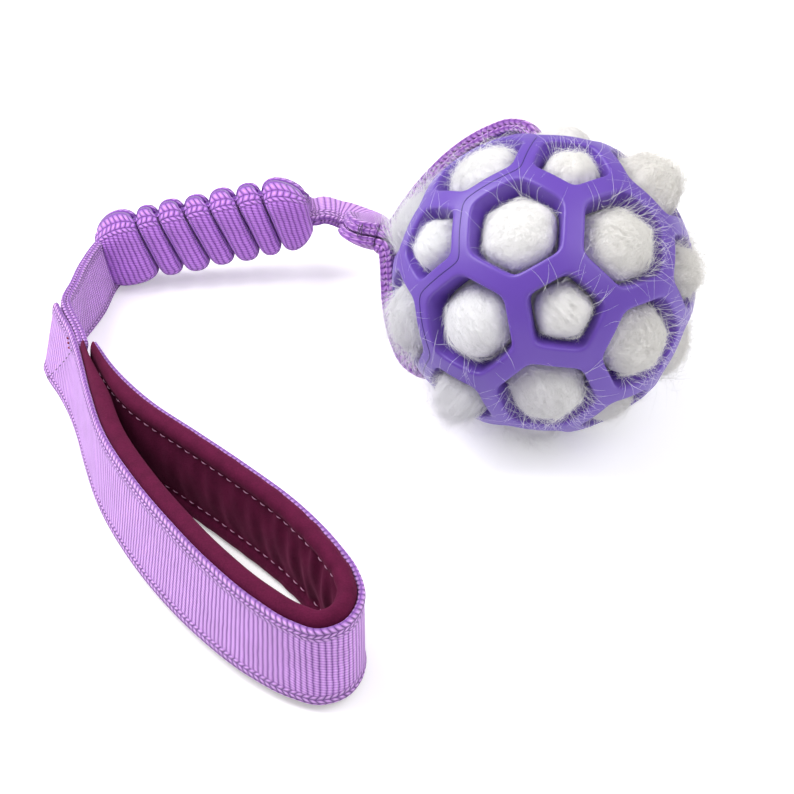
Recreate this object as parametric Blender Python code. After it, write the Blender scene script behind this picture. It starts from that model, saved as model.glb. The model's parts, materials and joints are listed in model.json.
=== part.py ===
"""Lattice ball dog toy: a rubber lattice ball stuffed with fur, on a bungee tug with a padded handle.

Lengths are in metres and angles in degrees. Z is up, X runs to the right of the photograph and Y runs
away from it. The work starts from a point on the floor in front of the toy, and the last step moves
everything so that the middle of the footprint lies at the origin.
"""
import math

import bmesh
import bpy
import numpy as np
from mathutils import Euler, Vector

# General clearances

GAP = 0.0003
MERGE_DISTANCE = 0.00001
CURVE_STEPS = 24
NEAR_FACTOR = 1.01
FINE_ROWS = 400

# Rubber lattice ball

BALL_RADIUS = 0.0445
BALL_WALL = 0.0088
BAR_WIDTH = 0.0062
RIM_CHAMFER = 0.0006
WALL_TAPER = 0.0003
CORNER_SHARE = 0.16
CORNER_PULL_SHARE = 0.55
BALL_X = 0.0430
BALL_Y = -0.0049
BALL_TURN = (92.7302, 22.3650, 127.3995)

# Fur in the ball

FUR_WALL_GAP = 0.0005
FUR_HOLE_GAP = 0.0006
FUR_CROWN_DROP = 0.0004
FUR_SHOULDER_DROP = 0.0030
FUR_SHOULDER_SHARE = 0.76
FUR_DEPTH = 0.0117
BACKING_RADIUS = BALL_RADIUS - BALL_WALL - FUR_DEPTH
BACKING_GAP = 0.0004
STRAP_CHANNEL_GAP = 0.0006
CUTTER_REACH_SHARE = 0.7

# Strap that loops round the ball

LOOP_STRAP_WIDTH = 0.0125
LOOP_STRAP_THICKNESS = 0.0038
LOOP_FOLD_GROOVE = 0.0008
LOOP_TILT = 31.08
LOOP_TURN = -5.755
LOOP_LEAN = 20.0
LOOP_LEAN_DIRECTION = 157.0
# Angle round the loop, distance of the strap's middle from the ball's centre, and shift along the axis,
# both as shares of the ball's radius
LOOP_PATH_SHARES = (
    (164.6, 1.2000, 0.0000), (164.6, 1.1650, 0.0000), (163.8, 1.1390, 0.0000), (160.8, 1.1180, 0.0000),
    (155.0, 1.0980, 0.0000), (147.6, 1.0850, 0.0000), (139.0, 1.0760, 0.0000), (130.0, 1.0740, 0.0067),
    (121.0, 1.0730, 0.0180), (112.0, 1.0710, 0.0315), (104.0, 1.0630, 0.0449), (98.3, 1.0180, 0.0562),
    (94.8, 0.8989, 0.0607), (94.0, 0.7640, 0.0539), (97.0, 0.6067, 0.0404), (108.0, 0.4607, 0.0270),
    (128.0, 0.3371, 0.0180), (157.5, 0.2809, 0.0067), (187.0, 0.3371, -0.0045),
    (207.0, 0.4607, -0.0135), (218.0, 0.6067, -0.0225), (221.5, 0.7640, -0.0292),
    (221.0, 0.8989, -0.0315), (218.0, 1.0070, -0.0270), (211.8, 1.0600, -0.0202),
    (205.0, 1.0680, -0.0135), (197.0, 1.0680, -0.0067), (189.0, 1.0690, 0.0000),
    (181.6, 1.0770, 0.0000), (176.2, 1.0930, 0.0000), (172.4, 1.1150, 0.0000), (170.1, 1.1400, 0.0000),
    (169.6, 1.1680, 0.0000), (169.6, 1.2000, 0.0000),
)
LOOP_STATIONS = 84

# Neck strap between the bungee and the ball

NECK_THICKNESS = 0.0036
NECK_LIFT = -0.0016
NECK_END_LENGTH = 0.0100
NECK_END_THICKNESS = 0.0026
NECK_STATIONS = 26
NECK_END_STATIONS = 5
# Share of the way from the bungee to the ball, how far the strap swings out there, and its edge's direction
NECK_WAY_SHARES = (0.01, 0.08, 0.20, 0.37, 0.54, 0.72)
NECK_SWINGS = (
    (0.0062, 0.0008, -0.0021), (0.0110, 0.0017, -0.0038), (0.0125, 0.0017, -0.0047),
    (0.0101, 0.0019, -0.0039), (0.0064, 0.0016, -0.0018), (0.0031, 0.0014, 0.0008),
)
NECK_EDGE_FIRST = (0.05, -0.99, 0.12)
NECK_EDGES = (
    (-0.12, -0.99, 0.08), (-0.45, -0.89, 0.05), (-0.80, -0.60, 0.02), (-0.97, -0.25, 0.02),
    (-1.00, -0.15, 0.10), (-0.88, -0.40, 0.28),
)
NECK_TACK_LENGTH = 0.0022
NECK_TACK_THICKNESS = 0.0007
NECK_TACK_BACK = 0.0040
NECK_START_LEAD = 0.0030
NECK_END_LEAD = 0.0050
NECK_JOIN_GAP = 0.0006
NECK_END_BACK = 0.0004
NECK_END_GAP = 0.0009

# Bungee, two gathered webbing layers over a flat elastic

WEBBING_WIDTH = 0.0250
SLEEVE_THICKNESS = 0.0016
ELASTIC_THICKNESS = 0.0020
ELASTIC_WIDTH = 0.0180
ELASTIC_SPARE = 0.0065
BUNGEE_START = (-0.1008, 0.0680, 0.0130)
BUNGEE_TURN = 8.0
BUNGEE_RISE = 9.0
END_PLEAT_FIRST = 0.0190
END_PLEAT_LAST = 0.0155
MIDDLE_PLEAT = 0.0076
MIDDLE_PLEATS = 5
PLEAT_DEPTH = 0.0060
END_PLEAT_DEPTH = 0.0068
PLEAT_VALLEY = 0.0022
PLEAT_LEAN = 0.0008
NECK_CLEARANCE = PLEAT_LEAN + 2 * GAP
TAIL_CLEARANCE = PLEAT_LEAN + 6 * GAP
PLEAT_COLUMN_SHARES = (0.5, 0.40, 0.0)
PLEAT_DEPTH_SHARES = (0.20, 0.80, 1.0)
PLEAT_ROUNDING = 0.85
VALLEY_HEIGHT_SHARE = 0.84
CREST_HEIGHT_SHARE = 1.10
SLEEVE_END_TAPER = 0.0120
LEFT_TOP_SHARE_FRONT = 0.52
LEFT_TOP_SHARE_BACK = 0.85
RIGHT_SHARE = 0.50
PLEAT_POINTS = 7
VALLEY_POINTS = 3
SEAM_LENGTH = 0.0014
SEAM_THICKNESS = 0.0007
SEAM_HEIGHT = 0.0100
SEAM_BACK = 0.0030
SEAM_AHEAD = 0.0070

# Tail strap between the bungee and the handle, two webbing layers

TAIL_THICKNESS = 0.0013
TAIL_HELD_LENGTH = 0.0245
TAIL_BULGE = -0.0004
TAIL_LEAD = 0.0060
TAIL_TURN = 36.0
TAIL_EASE = 0.0008
FOLD_BEYOND = 0.0040
TAIL_STATIONS = 30

# Handle

HANDLE_WEBBING_THICKNESS = 0.0015
# Plan place of the webbing's outer face at half height, and how far its lower edge leans outwards
HANDLE_PATH = (
    (-0.1090, 0.0116, 0.0062), (-0.1070, 0.0066, 0.0062), (-0.1026, -0.0020, 0.0056),
    (-0.0988, -0.0110, 0.0046), (-0.0950, -0.0220, 0.0036), (-0.0908, -0.0360, 0.0032),
    (-0.0835, -0.0570, 0.0032), (-0.0722, -0.0790, 0.0040), (-0.0612, -0.0962, 0.0042),
    (-0.0492, -0.1120, 0.0034), (-0.0360, -0.1258, 0.0020), (-0.0262, -0.1330, 0.0006),
    (-0.0190, -0.1356, 0.0000), (-0.0125, -0.1330, 0.0000), (-0.0088, -0.1268, 0.0000),
    (-0.0080, -0.1200, 0.0000), (-0.0096, -0.1128, 0.0000), (-0.0146, -0.1025, 0.0000),
    (-0.0256, -0.0860, 0.0000), (-0.0399, -0.0700, 0.0000), (-0.0549, -0.0547, 0.0000),
    (-0.0700, -0.0400, -0.0008), (-0.0836, -0.0230, -0.0026), (-0.0918, -0.0100, -0.0048),
)
HANDLE_STATIONS = 54
HANDLE_TURN_WEIGHT = 0.0300
STATION_SPARE_SHARE = 0.25
LINING_START = 0.0270
LINING_END = 0.0030
LINING_TAPER_LENGTH = 0.0320
LINING_TAPER_SHARE = 0.28
LINING_HEIGHT = 0.0290
LINING_EDGE_ROUND = 0.0013
LINING_ROLL_HEIGHT = 0.0048
LINING_ROLL_THICKNESS = 0.0050
LINING_CHANNEL_THICKNESS = 0.0038
LINING_CROWN_THICKNESS = 0.0046
LINING_CHANNEL_WIDTH = 0.0016
PAD_THICKNESS = 0.0024
PAD_HEIGHT = 0.0200
PAD_SPARE = 0.0060
ROW_THREAD = 0.0005
ROW_SPARE = 0.0060
BOX_THREAD = 0.0006
BOX_LOW = 0.0060
BOX_HIGH = 0.0270
RED_THREAD = 0.0007
RED_LENGTH = 0.0040
RED_BACK = 0.0036
BOX_STATIONS = 12

# Colours

PURPLE_RUBBER = (0.145, 0.065, 0.450, 1.0)
WHITE_FUR = (0.820, 0.800, 0.760, 1.0)
BACKING_COLOUR = (0.620, 0.570, 0.500, 1.0)
LILAC_WEBBING = (0.480, 0.225, 0.740, 1.0)
ELASTIC_COLOUR = (0.700, 0.690, 0.680, 1.0)
BURGUNDY = (0.165, 0.012, 0.070, 1.0)
FOAM_COLOUR = (0.560, 0.550, 0.530, 1.0)
PINK_THREAD = (0.780, 0.560, 0.640, 1.0)
DARK_THREAD = (0.060, 0.035, 0.080, 1.0)
RED_COLOUR = (0.240, 0.020, 0.050, 1.0)


def make_material(name, colour, roughness):
    """One Principled material."""
    material = bpy.data.materials.new(name)
    material.use_nodes = True
    shader = material.node_tree.nodes["Principled BSDF"]
    shader.inputs["Base Color"].default_value = colour
    shader.inputs["Roughness"].default_value = roughness
    return material


def make_object(name, points, faces, colour, roughness):
    """A closed body from points and faces, welded, with its faces turned outwards."""
    mesh = bpy.data.meshes.new(name)
    mesh.from_pydata([tuple(p) for p in points], [], [tuple(f) for f in faces])
    work = bmesh.new()
    work.from_mesh(mesh)
    bmesh.ops.remove_doubles(work, verts=work.verts, dist=MERGE_DISTANCE)
    bmesh.ops.recalc_face_normals(work, faces=work.faces)
    if work.calc_volume(signed=True) < 0:
        bmesh.ops.reverse_faces(work, faces=work.faces)
    work.to_mesh(mesh)
    work.free()
    mesh.materials.append(make_material(name, colour, roughness))
    for polygon in mesh.polygons:
        polygon.use_smooth = True
    thing = bpy.data.objects.new(name, mesh)
    bpy.context.scene.collection.objects.link(thing)
    return thing


def unit(rows):
    """Rows of vectors, each brought to length one."""
    rows = np.asarray(rows, float)
    return rows / np.linalg.norm(rows, axis=-1, keepdims=True)


def smooth_rows(rows, count):
    """A smooth curve through the rows, cut into count rows at even distances along it."""
    rows = np.asarray(rows, float)
    run = run_lengths(rows[:, :3])
    slopes = np.gradient(rows, run, axis=0)
    t = (np.arange(CURVE_STEPS) / CURVE_STEPS)[:, None]
    pieces = []
    for i in range(len(rows) - 1):
        span = run[i + 1] - run[i]
        start = rows[i] * (2 * t ** 3 - 3 * t ** 2 + 1) + slopes[i] * span * (t ** 3 - 2 * t ** 2 + t)
        end = rows[i + 1] * (3 * t ** 2 - 2 * t ** 3) + slopes[i + 1] * span * (t ** 3 - t ** 2)
        pieces.append(start + end)
    dense = np.vstack(pieces + [rows[-1:]])
    run = run_lengths(dense[:, :3])
    places = np.linspace(0, run[-1], count)
    return np.stack([np.interp(places, run, dense[:, k]) for k in range(dense.shape[1])], axis=1)


def run_lengths(points):
    """Distance along a row of points."""
    steps = np.linalg.norm(np.diff(points, axis=0), axis=1)
    return np.concatenate([[0.0], np.cumsum(steps)])


def tangents(points):
    """Direction of travel at each point."""
    return unit(np.gradient(points, axis=0))


def loft(name, sections, colour, roughness):
    """A closed body through rings of points, with a flat face at each end.

    Each side face is cut from its lower point to its higher point in the next ring, so that the
    facing sides of two layers are cut alike and keep their distance where the layers twist.
    """
    sections = np.asarray(sections)
    rings, size = sections.shape[:2]
    faces = []
    for i in range(rings - 1):
        for j in range(size):
            k = (j + 1) % size
            near, far = i * size, (i + 1) * size
            rises = sections[i:i + 2, k, 2].sum() >= sections[i:i + 2, j, 2].sum()
            first, second = (k, j) if rises else (j, k)
            faces.append((near + j, near + k, far + first))
            faces.append((near + second, far + k, far + j))
    faces.append(tuple(range(size)))
    faces.append(tuple((rings - 1) * size + j for j in reversed(range(size))))
    return make_object(name, sections.reshape(-1, 3), faces, colour, roughness)


def strip_rings(path, widths, profile):
    """Rings of a strap: profile holds places across the width and through the thickness."""
    along = tangents(path)
    widths = unit(widths - along * np.sum(widths * along, axis=1, keepdims=True))
    through = np.cross(along, widths)
    profile = np.asarray(profile)
    return path[:, None] + widths[:, None] * profile[..., :1] + through[:, None] * profile[..., 1:]


def flat_profile(width, thickness):
    """Section of flat webbing with rounded edges."""
    half = width / 2
    side = thickness / 2
    edge = half - side
    return [(-half, 0.0), (-edge, -side), (edge, -side), (half, 0.0), (edge, side), (-edge, side)]


def folded_profile(width, thickness, groove):
    """Section of webbing folded lengthwise: a round fold at one edge and two woven edges at the other."""
    half = width / 2
    side = thickness / 2
    edge = half - side
    return [(-half, 0.0), (-edge, -side), (edge, -side), (half, -side / 2), (half - groove, 0.0),
            (half, side / 2), (edge, side), (-edge, side)]


# Lattice of twelve five-sided and twenty six-sided holes

def lattice():
    """Directions of the sixty junctions and the ring of junctions round each hole."""
    golden = (1 + math.sqrt(5)) / 2
    corners = []
    for a in (-1, 1):
        for b in (-golden, golden):
            corners += [(0, a, b), (a, b, 0), (b, 0, a)]
    corners = unit(corners)
    apart = np.linalg.norm(corners[:, None] - corners[None], axis=2)
    near = np.sort(apart.ravel())[len(corners)] * NEAR_FACTOR
    pairs = [(i, j) for i in range(12) for j in range(12) if i != j and apart[i, j] < near]
    junctions = unit([2 * corners[i] + corners[j] for i, j in pairs])
    holes = []
    for i in range(12):
        holes.append([k for k, pair in enumerate(pairs) if pair[0] == i])
    for i in range(12):
        for j in range(i + 1, 12):
            for k in range(j + 1, 12):
                if apart[i, j] < near and apart[j, k] < near and apart[i, k] < near:
                    three = {i, j, k}
                    holes.append([m for m, pair in enumerate(pairs) if set(pair) <= three])
    rings = []
    for hole in holes:
        middle = unit(junctions[hole].mean(axis=0))
        first = unit(np.cross(middle, junctions[hole[0]]))
        second = np.cross(first, middle)
        angles = [math.atan2(junctions[k] @ first, junctions[k] @ second) for k in hole]
        rings.append([hole[k] for k in np.argsort(angles)])
    turn = np.array(Euler([math.radians(a) for a in BALL_TURN]).to_matrix())
    return junctions @ turn.T, rings


def inset_corners(corners, amount):
    """Corners of a hole drawn in by an angle from each side."""
    ahead = np.roll(corners, -1, axis=0)
    normals = unit(np.cross(corners, ahead))
    middle = corners.mean(axis=0)
    normals = normals * np.sign(normals @ middle)[:, None]
    behind = np.roll(normals, 1, axis=0)
    share = 1 + np.sum(normals * behind, axis=1, keepdims=True)
    return unit(corners + (normals + behind) * math.sin(amount) / share)


def hole_ring(corners, steps, pull):
    """Directions round a hole: steps along each side, with the corners drawn in by the pull share."""
    ahead = np.roll(corners, -1, axis=0)
    ring = []
    for step in steps:
        ring.append(corners * (1 - step) + ahead * step)
    ring = np.stack(ring, axis=1).reshape(-1, 3)
    if pull > 0:
        count = len(steps)
        before = np.roll(ring, 1, axis=0)[::count]
        after = np.roll(ring, -1, axis=0)[::count]
        ring[::count] = ring[::count] * (1 - pull) + (before + after) / 2 * pull
    return unit(ring)


def stack_rings(rings, points, faces):
    """Adds rows of quads between rings of equal size."""
    size = len(rings[0])
    start = len(points)
    for ring in rings:
        points.extend(ring)
    for i in range(len(rings) - 1):
        for j in range(size):
            k = (j + 1) % size
            a = start + i * size
            b = a + size
            faces.append((a + j, a + k, b + k, b + j))
    return start + (len(rings) - 1) * size


def shell_mesh(centre):
    """Points and faces of the rubber lattice."""
    junctions, holes = lattice()
    steps = (0.0, CORNER_SHARE, 0.5, 1 - CORNER_SHARE)
    inner = BALL_RADIUS - BALL_WALL
    half = BAR_WIDTH / 2
    points = []
    faces = []
    for hole in holes:
        corners = junctions[hole]
        border = hole_ring(corners, steps, 0)
        flat = hole_ring(inset_corners(corners, (half - RIM_CHAMFER) / BALL_RADIUS), steps, CORNER_PULL_SHARE)
        rim = hole_ring(inset_corners(corners, half / BALL_RADIUS), steps, CORNER_PULL_SHARE)
        deep = hole_ring(inset_corners(corners, (half + WALL_TAPER) / BALL_RADIUS), steps, CORNER_PULL_SHARE)
        rings = [border * BALL_RADIUS, flat * BALL_RADIUS, rim * (BALL_RADIUS - RIM_CHAMFER),
                 deep * inner, border * inner]
        stack_rings([ring + centre for ring in rings], points, faces)
    return points, faces


def make_ball(centre, strap_cutter):
    """The rubber lattice, the fur that fills it and the fur's backing."""
    points, faces = shell_mesh(centre)
    shell = make_object("lattice_ball", points, faces, PURPLE_RUBBER, 0.45)
    for polygon in shell.data.polygons:
        polygon.use_smooth = False
    junctions, holes = lattice()
    steps = (0.0, 0.5)
    inner = BALL_RADIUS - BALL_WALL
    foot = inner - FUR_WALL_GAP
    opening = (BAR_WIDTH / 2 + WALL_TAPER + FUR_HOLE_GAP) / inner
    points = []
    faces = []
    for hole in holes:
        corners = junctions[hole]
        middle = unit(corners.mean(axis=0))
        border = hole_ring(corners, steps, 0)
        drawn = hole_ring(inset_corners(corners, opening), steps, CORNER_PULL_SHARE)
        crown = hole_ring(inset_corners(corners, opening), steps, CORNER_PULL_SHARE)
        crown = unit(crown * FUR_SHOULDER_SHARE + middle * (1 - FUR_SHOULDER_SHARE))
        top = BALL_RADIUS - FUR_CROWN_DROP
        shoulder = BALL_RADIUS - FUR_SHOULDER_DROP
        rings = [border * foot, drawn * foot, drawn * (foot + shoulder) / 2, crown * shoulder]
        last = stack_rings([ring + centre for ring in rings], points, faces)
        points.append(middle * top + centre)
        size = len(border)
        for j in range(size):
            faces.append((last + j, last + (j + 1) % size, len(points) - 1))
    fur = make_object("fur_pile", points, faces, WHITE_FUR, 0.95)
    hollow = make_sphere("fur_hollow", centre, BACKING_RADIUS + BACKING_GAP, WHITE_FUR)
    backing = make_sphere("fur_backing", centre, BACKING_RADIUS, BACKING_COLOUR)
    subtract(fur, hollow)
    subtract(fur, strap_cutter)
    subtract(backing, strap_cutter)
    for thing in (hollow, strap_cutter):
        bpy.data.objects.remove(thing)
    return [shell, fur, backing]


def make_sphere(name, centre, radius, colour):
    """A ball of triangles."""
    work = bmesh.new()
    bmesh.ops.create_icosphere(work, subdivisions=3, radius=radius)
    points = [np.array(v.co) + centre for v in work.verts]
    faces = [[v.index for v in f.verts] for f in work.faces]
    work.free()
    return make_object(name, points, faces, colour, 0.9)


def subtract(thing, cutter):
    """Cuts one body from another and keeps the result as the mesh."""
    cutter.hide_render = True
    cutter.display_type = "WIRE"
    change = thing.modifiers.new("cut", "BOOLEAN")
    change.operation = "DIFFERENCE"
    change.solver = "EXACT"
    change.object = cutter
    bpy.context.view_layer.update()
    ready = thing.evaluated_get(bpy.context.evaluated_depsgraph_get())
    mesh = bpy.data.meshes.new_from_object(ready)
    thing.modifiers.clear()
    old = thing.data
    thing.data = mesh
    bpy.data.meshes.remove(old)


# Strap loop round the ball

def loop_frame():
    """Directions of the loop: its axis, two directions in its plane and the lean's direction."""
    tilt = math.radians(LOOP_TILT)
    turn = math.radians(LOOP_TURN)
    facing = np.array([math.sin(turn) * math.cos(tilt), -math.cos(turn) * math.cos(tilt), math.sin(tilt)])
    right = unit(np.cross([0.0, 0.0, 1.0], facing))
    up = np.cross(facing, right)
    lean = math.radians(LOOP_LEAN)
    to = math.radians(LOOP_LEAN_DIRECTION)
    out = right * math.cos(to) + up * math.sin(to)
    side = -right * math.sin(to) + up * math.cos(to)
    axis = facing * math.cos(lean) + out * math.sin(lean)
    away = out * math.cos(lean) - facing * math.sin(lean)
    return axis, away, side, to


def loop_point(centre, angle, distance, offset):
    """A point of the loop, offset from the loop's plane along its axis."""
    axis, away, side, to = loop_frame()
    turn = math.radians(angle) - to
    return centre + distance * (away * math.cos(turn) + side * math.sin(turn)) + axis * offset


def loop_path(centre, count):
    """The strap's middle line round and through the ball."""
    rows = [loop_point(centre, angle, distance * BALL_RADIUS, shift * BALL_RADIUS)
            for angle, distance, shift in LOOP_PATH_SHARES]
    return smooth_rows(rows, count)


def make_loop(name, centre, profile):
    """The strap body that loops round the ball."""
    path = loop_path(centre, LOOP_STATIONS)
    axis = loop_frame()[0]
    widths = np.repeat(axis[None], LOOP_STATIONS, axis=0)
    return loft(name, strip_rings(path, widths, profile), LILAC_WEBBING, 0.8)


def make_loop_cutter(centre):
    """The room that the strap needs in the fur."""
    spare = STRAP_CHANNEL_GAP
    wide = LOOP_STRAP_WIDTH / 2 + spare
    deep = LOOP_STRAP_THICKNESS / 2 + spare
    profile = [(-wide, -deep), (wide, -deep), (wide, deep), (-wide, deep)]
    path = loop_path(centre, LOOP_STATIONS)
    inside = np.linalg.norm(path - centre, axis=1) < BALL_RADIUS + LOOP_STRAP_THICKNESS * CUTTER_REACH_SHARE
    widths = np.repeat(loop_frame()[0][None], LOOP_STATIONS, axis=0)
    rings = strip_rings(path, widths, profile)[inside]
    return loft("strap_room", rings, LILAC_WEBBING, 0.8)


# Bungee

def bungee_frame():
    """Start, direction along, direction to the front and upright direction of the bungee."""
    turn = math.radians(BUNGEE_TURN)
    rise = math.radians(BUNGEE_RISE)
    along = np.array([math.cos(turn) * math.cos(rise), math.sin(turn) * math.cos(rise), math.sin(rise)])
    front = np.array([math.sin(turn), -math.cos(turn), 0.0])
    upright = np.cross(front, along)
    return np.array(BUNGEE_START), along, front, -upright if upright[2] < 0 else upright


def pleat_pitches():
    """Length of each pleat along the bungee."""
    return [END_PLEAT_FIRST] + [MIDDLE_PLEAT] * MIDDLE_PLEATS + [END_PLEAT_LAST]


def bungee_length():
    """Length of the gathered part."""
    return sum(pleat_pitches())


def pleat_line():
    """The gathered line in plan: place along and place out from the middle, with a depth weight."""
    base = ELASTIC_THICKNESS / 2 + GAP + SLEEVE_THICKNESS / 2
    valley = PLEAT_VALLEY / 2
    rows = [(0.0, base, 0.0)]
    start = 0.0
    pitches = pleat_pitches()
    for number, pitch in enumerate(pitches):
        depth = PLEAT_DEPTH if 0 < number < len(pitches) - 1 else END_PLEAT_DEPTH
        low = start + valley
        high = start + pitch - valley
        reach = (high - low) / 2
        crown = min(reach, depth / 2)
        for step in range(PLEAT_POINTS):
            angle = math.pi * step / (PLEAT_POINTS - 1)
            across = -math.cos(angle)
            edge = math.copysign(abs(across) ** PLEAT_ROUNDING, across)
            bulge = math.sin(angle)
            rows.append((low + reach + reach * edge, base + depth - crown + crown * bulge, bulge))
        if number < len(pitches) - 1:
            for step in range(VALLEY_POINTS):
                angle = math.pi * (step + 0.5) / VALLEY_POINTS
                place = start + pitch - valley * math.cos(angle)
                rows.append((place, base + valley - valley * math.sin(angle), 0.0))
        start += pitch
    rows.append((start, base, 0.0))
    return np.array(rows), base


def make_sleeve(name, side):
    """One gathered webbing layer, in front of the elastic or behind it."""
    start, along, front, upright = bungee_frame()
    line, base = pleat_line()
    lower = [(-column, depth) for column, depth in zip(PLEAT_COLUMN_SHARES, PLEAT_DEPTH_SHARES)]
    upper = [(-column, depth) for column, depth in reversed(lower[:-1])]
    meet = (SLEEVE_THICKNESS + GAP) / 2
    top = LEFT_TOP_SHARE_FRONT if side > 0 else LEFT_TOP_SHARE_BACK
    outer = []
    inner = []
    for column, share in lower + upper:
        place = line[:, 0]
        foot = meet if abs(column) == PLEAT_COLUMN_SHARES[0] else base
        flat = np.stack([place, foot + (line[:, 1] - base) * share], axis=1)
        way = unit(np.gradient(flat, axis=0))
        normal = np.stack([-way[:, 1], way[:, 0]], axis=1) * SLEEVE_THICKNESS / 2
        lean = -PLEAT_LEAN * 2 * column
        left = end_share(place, 1.0 if column < 0 else top)
        right = end_share(bungee_length() - place, RIGHT_SHARE)
        crest = VALLEY_HEIGHT_SHARE + (CREST_HEIGHT_SHARE - VALLEY_HEIGHT_SHARE) * line[:, 2]
        height = WEBBING_WIDTH * column * left * right * crest
        for rows, sign in ((outer, 1), (inner, -1)):
            p = flat + normal * sign
            rows.append(start + along * (p[:, :1] + lean) + front * side * p[:, 1:]
                        + upright * height[:, None])
    rings = np.stack(outer + inner[::-1], axis=1)
    return loft(name, rings, LILAC_WEBBING, 0.8)


def end_share(place, share):
    """Height share near one end of the gathered part, one away from it."""
    away = np.clip(place / SLEEVE_END_TAPER, 0, 1)
    return 1 - (1 - share) * (1 - away) ** 2


def make_elastic():
    """The flat elastic between the two gathered layers."""
    start, along, front, upright = bungee_frame()
    path = np.stack([start + along * ELASTIC_SPARE, start + along * (bungee_length() - ELASTIC_SPARE)])
    widths = np.stack([upright, upright])
    profile = flat_profile(ELASTIC_WIDTH, ELASTIC_THICKNESS)
    return loft("elastic_core", strip_rings(path, widths, profile), ELASTIC_COLOUR, 0.7)


# Handle

def handle_curve():
    """Fine rows of the webbing's outer face at half height: place, lean and length along."""
    rows = smooth_rows([(x, y, 0.0, lean) for x, y, lean in HANDLE_PATH], FINE_ROWS)
    place = rows[:, :3]
    return place, rows[:, 3], run_lengths(place)


def handle_frames(lengths):
    """Middle of the outer face, direction up the webbing and direction inwards, at given lengths."""
    place, lean, run = handle_curve()
    along = tangents(place)
    outward = np.stack([along[:, 1], -along[:, 0], np.zeros(len(along))], axis=1)
    rise = np.sqrt(WEBBING_WIDTH ** 2 - lean ** 2)
    up = unit(-outward * lean[:, None] + np.array([0.0, 0.0, 1.0]) * rise[:, None])
    inward = unit(np.cross(up, along))
    inward = inward * -np.sign(np.sum(inward * outward, axis=1, keepdims=True))
    depth = HANDLE_WEBBING_THICKNESS + GAP + LINING_ROLL_THICKNESS * lining_share(run, run[-1])
    height = LINING_HEIGHT / 2 * up[:, 2] - depth * np.minimum(inward[:, 2], 0)
    middle = place + np.array([0.0, 0.0, 1.0]) * height[:, None]
    parts = []
    for rows in (middle, up, inward):
        parts.append(np.stack([np.interp(lengths, run, rows[:, k]) for k in range(3)], axis=1))
    return parts[0], unit(parts[1]), unit(parts[2])


def handle_stations(first, last):
    """Lengths for the sections, closer together where the webbing turns, the same for every layer."""
    place, lean, run = handle_curve()
    along = tangents(place)
    bends = np.linalg.norm(np.diff(along, axis=0), axis=1)
    effort = run + HANDLE_TURN_WEIGHT * np.concatenate([[0.0], np.cumsum(bends)])
    grid = np.interp(np.linspace(0, effort[-1], HANDLE_STATIONS), effort, run)
    apart = run[-1] / HANDLE_STATIONS * STATION_SPARE_SHARE
    inside = grid[(grid > first + apart) & (grid < last - apart)]
    return np.concatenate([[first], inside, [last]])


def handle_length():
    """Length of the handle's webbing."""
    return handle_curve()[2][-1]


def handle_loft(name, lengths, profile_rows, colour, roughness):
    """A body along the handle: each profile row holds height and depth for one length."""
    middle, up, inward = handle_frames(lengths)
    profile = np.asarray(profile_rows)
    rings = middle[:, None] + up[:, None] * profile[..., :1] + inward[:, None] * profile[..., 1:]
    return loft(name, rings, colour, roughness)


def lining_share(lengths, total):
    """Thickness share of the lining: thin at its two ends and full elsewhere."""
    ends = np.minimum(lengths - LINING_START, total - LINING_END - lengths)
    rise = np.clip(ends / LINING_TAPER_LENGTH, 0, 1)
    rise = rise * rise * (3 - 2 * rise)
    return LINING_TAPER_SHARE + (1 - LINING_TAPER_SHARE) * rise


def make_handle():
    """Webbing, padded lining, foam, the two stitch rows and the sewn box."""
    total = handle_length()
    base = HANDLE_WEBBING_THICKNESS + GAP
    things = []
    lengths = handle_stations(0.0, total)
    side = HANDLE_WEBBING_THICKNESS / 2
    web = [(h, d + side) for h, d in flat_profile(WEBBING_WIDTH, HANDLE_WEBBING_THICKNESS)]
    rows = [web] * len(lengths)
    things.append(handle_loft("handle_webbing", lengths, rows, LILAC_WEBBING, 0.8))
    lengths = handle_stations(LINING_START, total - LINING_END)
    rows = [lining_profile(share, base) for share in lining_share(lengths, total)]
    things.append(handle_loft("handle_lining", lengths, rows, BURGUNDY, 0.9))
    first = LINING_START + LINING_TAPER_LENGTH + PAD_SPARE
    last = total - LINING_END - LINING_TAPER_LENGTH - PAD_SPARE
    lengths = handle_stations(first, last)
    pad = PAD_THICKNESS - 2 * GAP
    rows = [[(h, d + base + GAP + pad / 2) for h, d in flat_profile(PAD_HEIGHT - 2 * GAP, pad)]] * len(lengths)
    things.append(handle_loft("handle_foam", lengths, rows, FOAM_COLOUR, 0.9))
    grid = handle_stations(LINING_START, total - LINING_END)
    for name, sign in (("upper_stitch_row", 1), ("lower_stitch_row", -1)):
        lengths = handle_stations(LINING_START + ROW_SPARE, total - LINING_END - ROW_SPARE)
        height = sign * (LINING_HEIGHT / 2 - LINING_ROLL_HEIGHT - LINING_CHANNEL_WIDTH)
        rows = []
        for share in np.interp(lengths, grid, lining_share(grid, total)):
            depth = base + LINING_CHANNEL_THICKNESS * share + GAP + ROW_THREAD / 2
            thread = flat_profile(ROW_THREAD, ROW_THREAD)
            rows.append([(h + height, d + depth) for h, d in (thread[0], thread[1], thread[3], thread[4])])
        things.append(handle_loft(name, lengths, rows, PINK_THREAD, 0.6))
    return things


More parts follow.
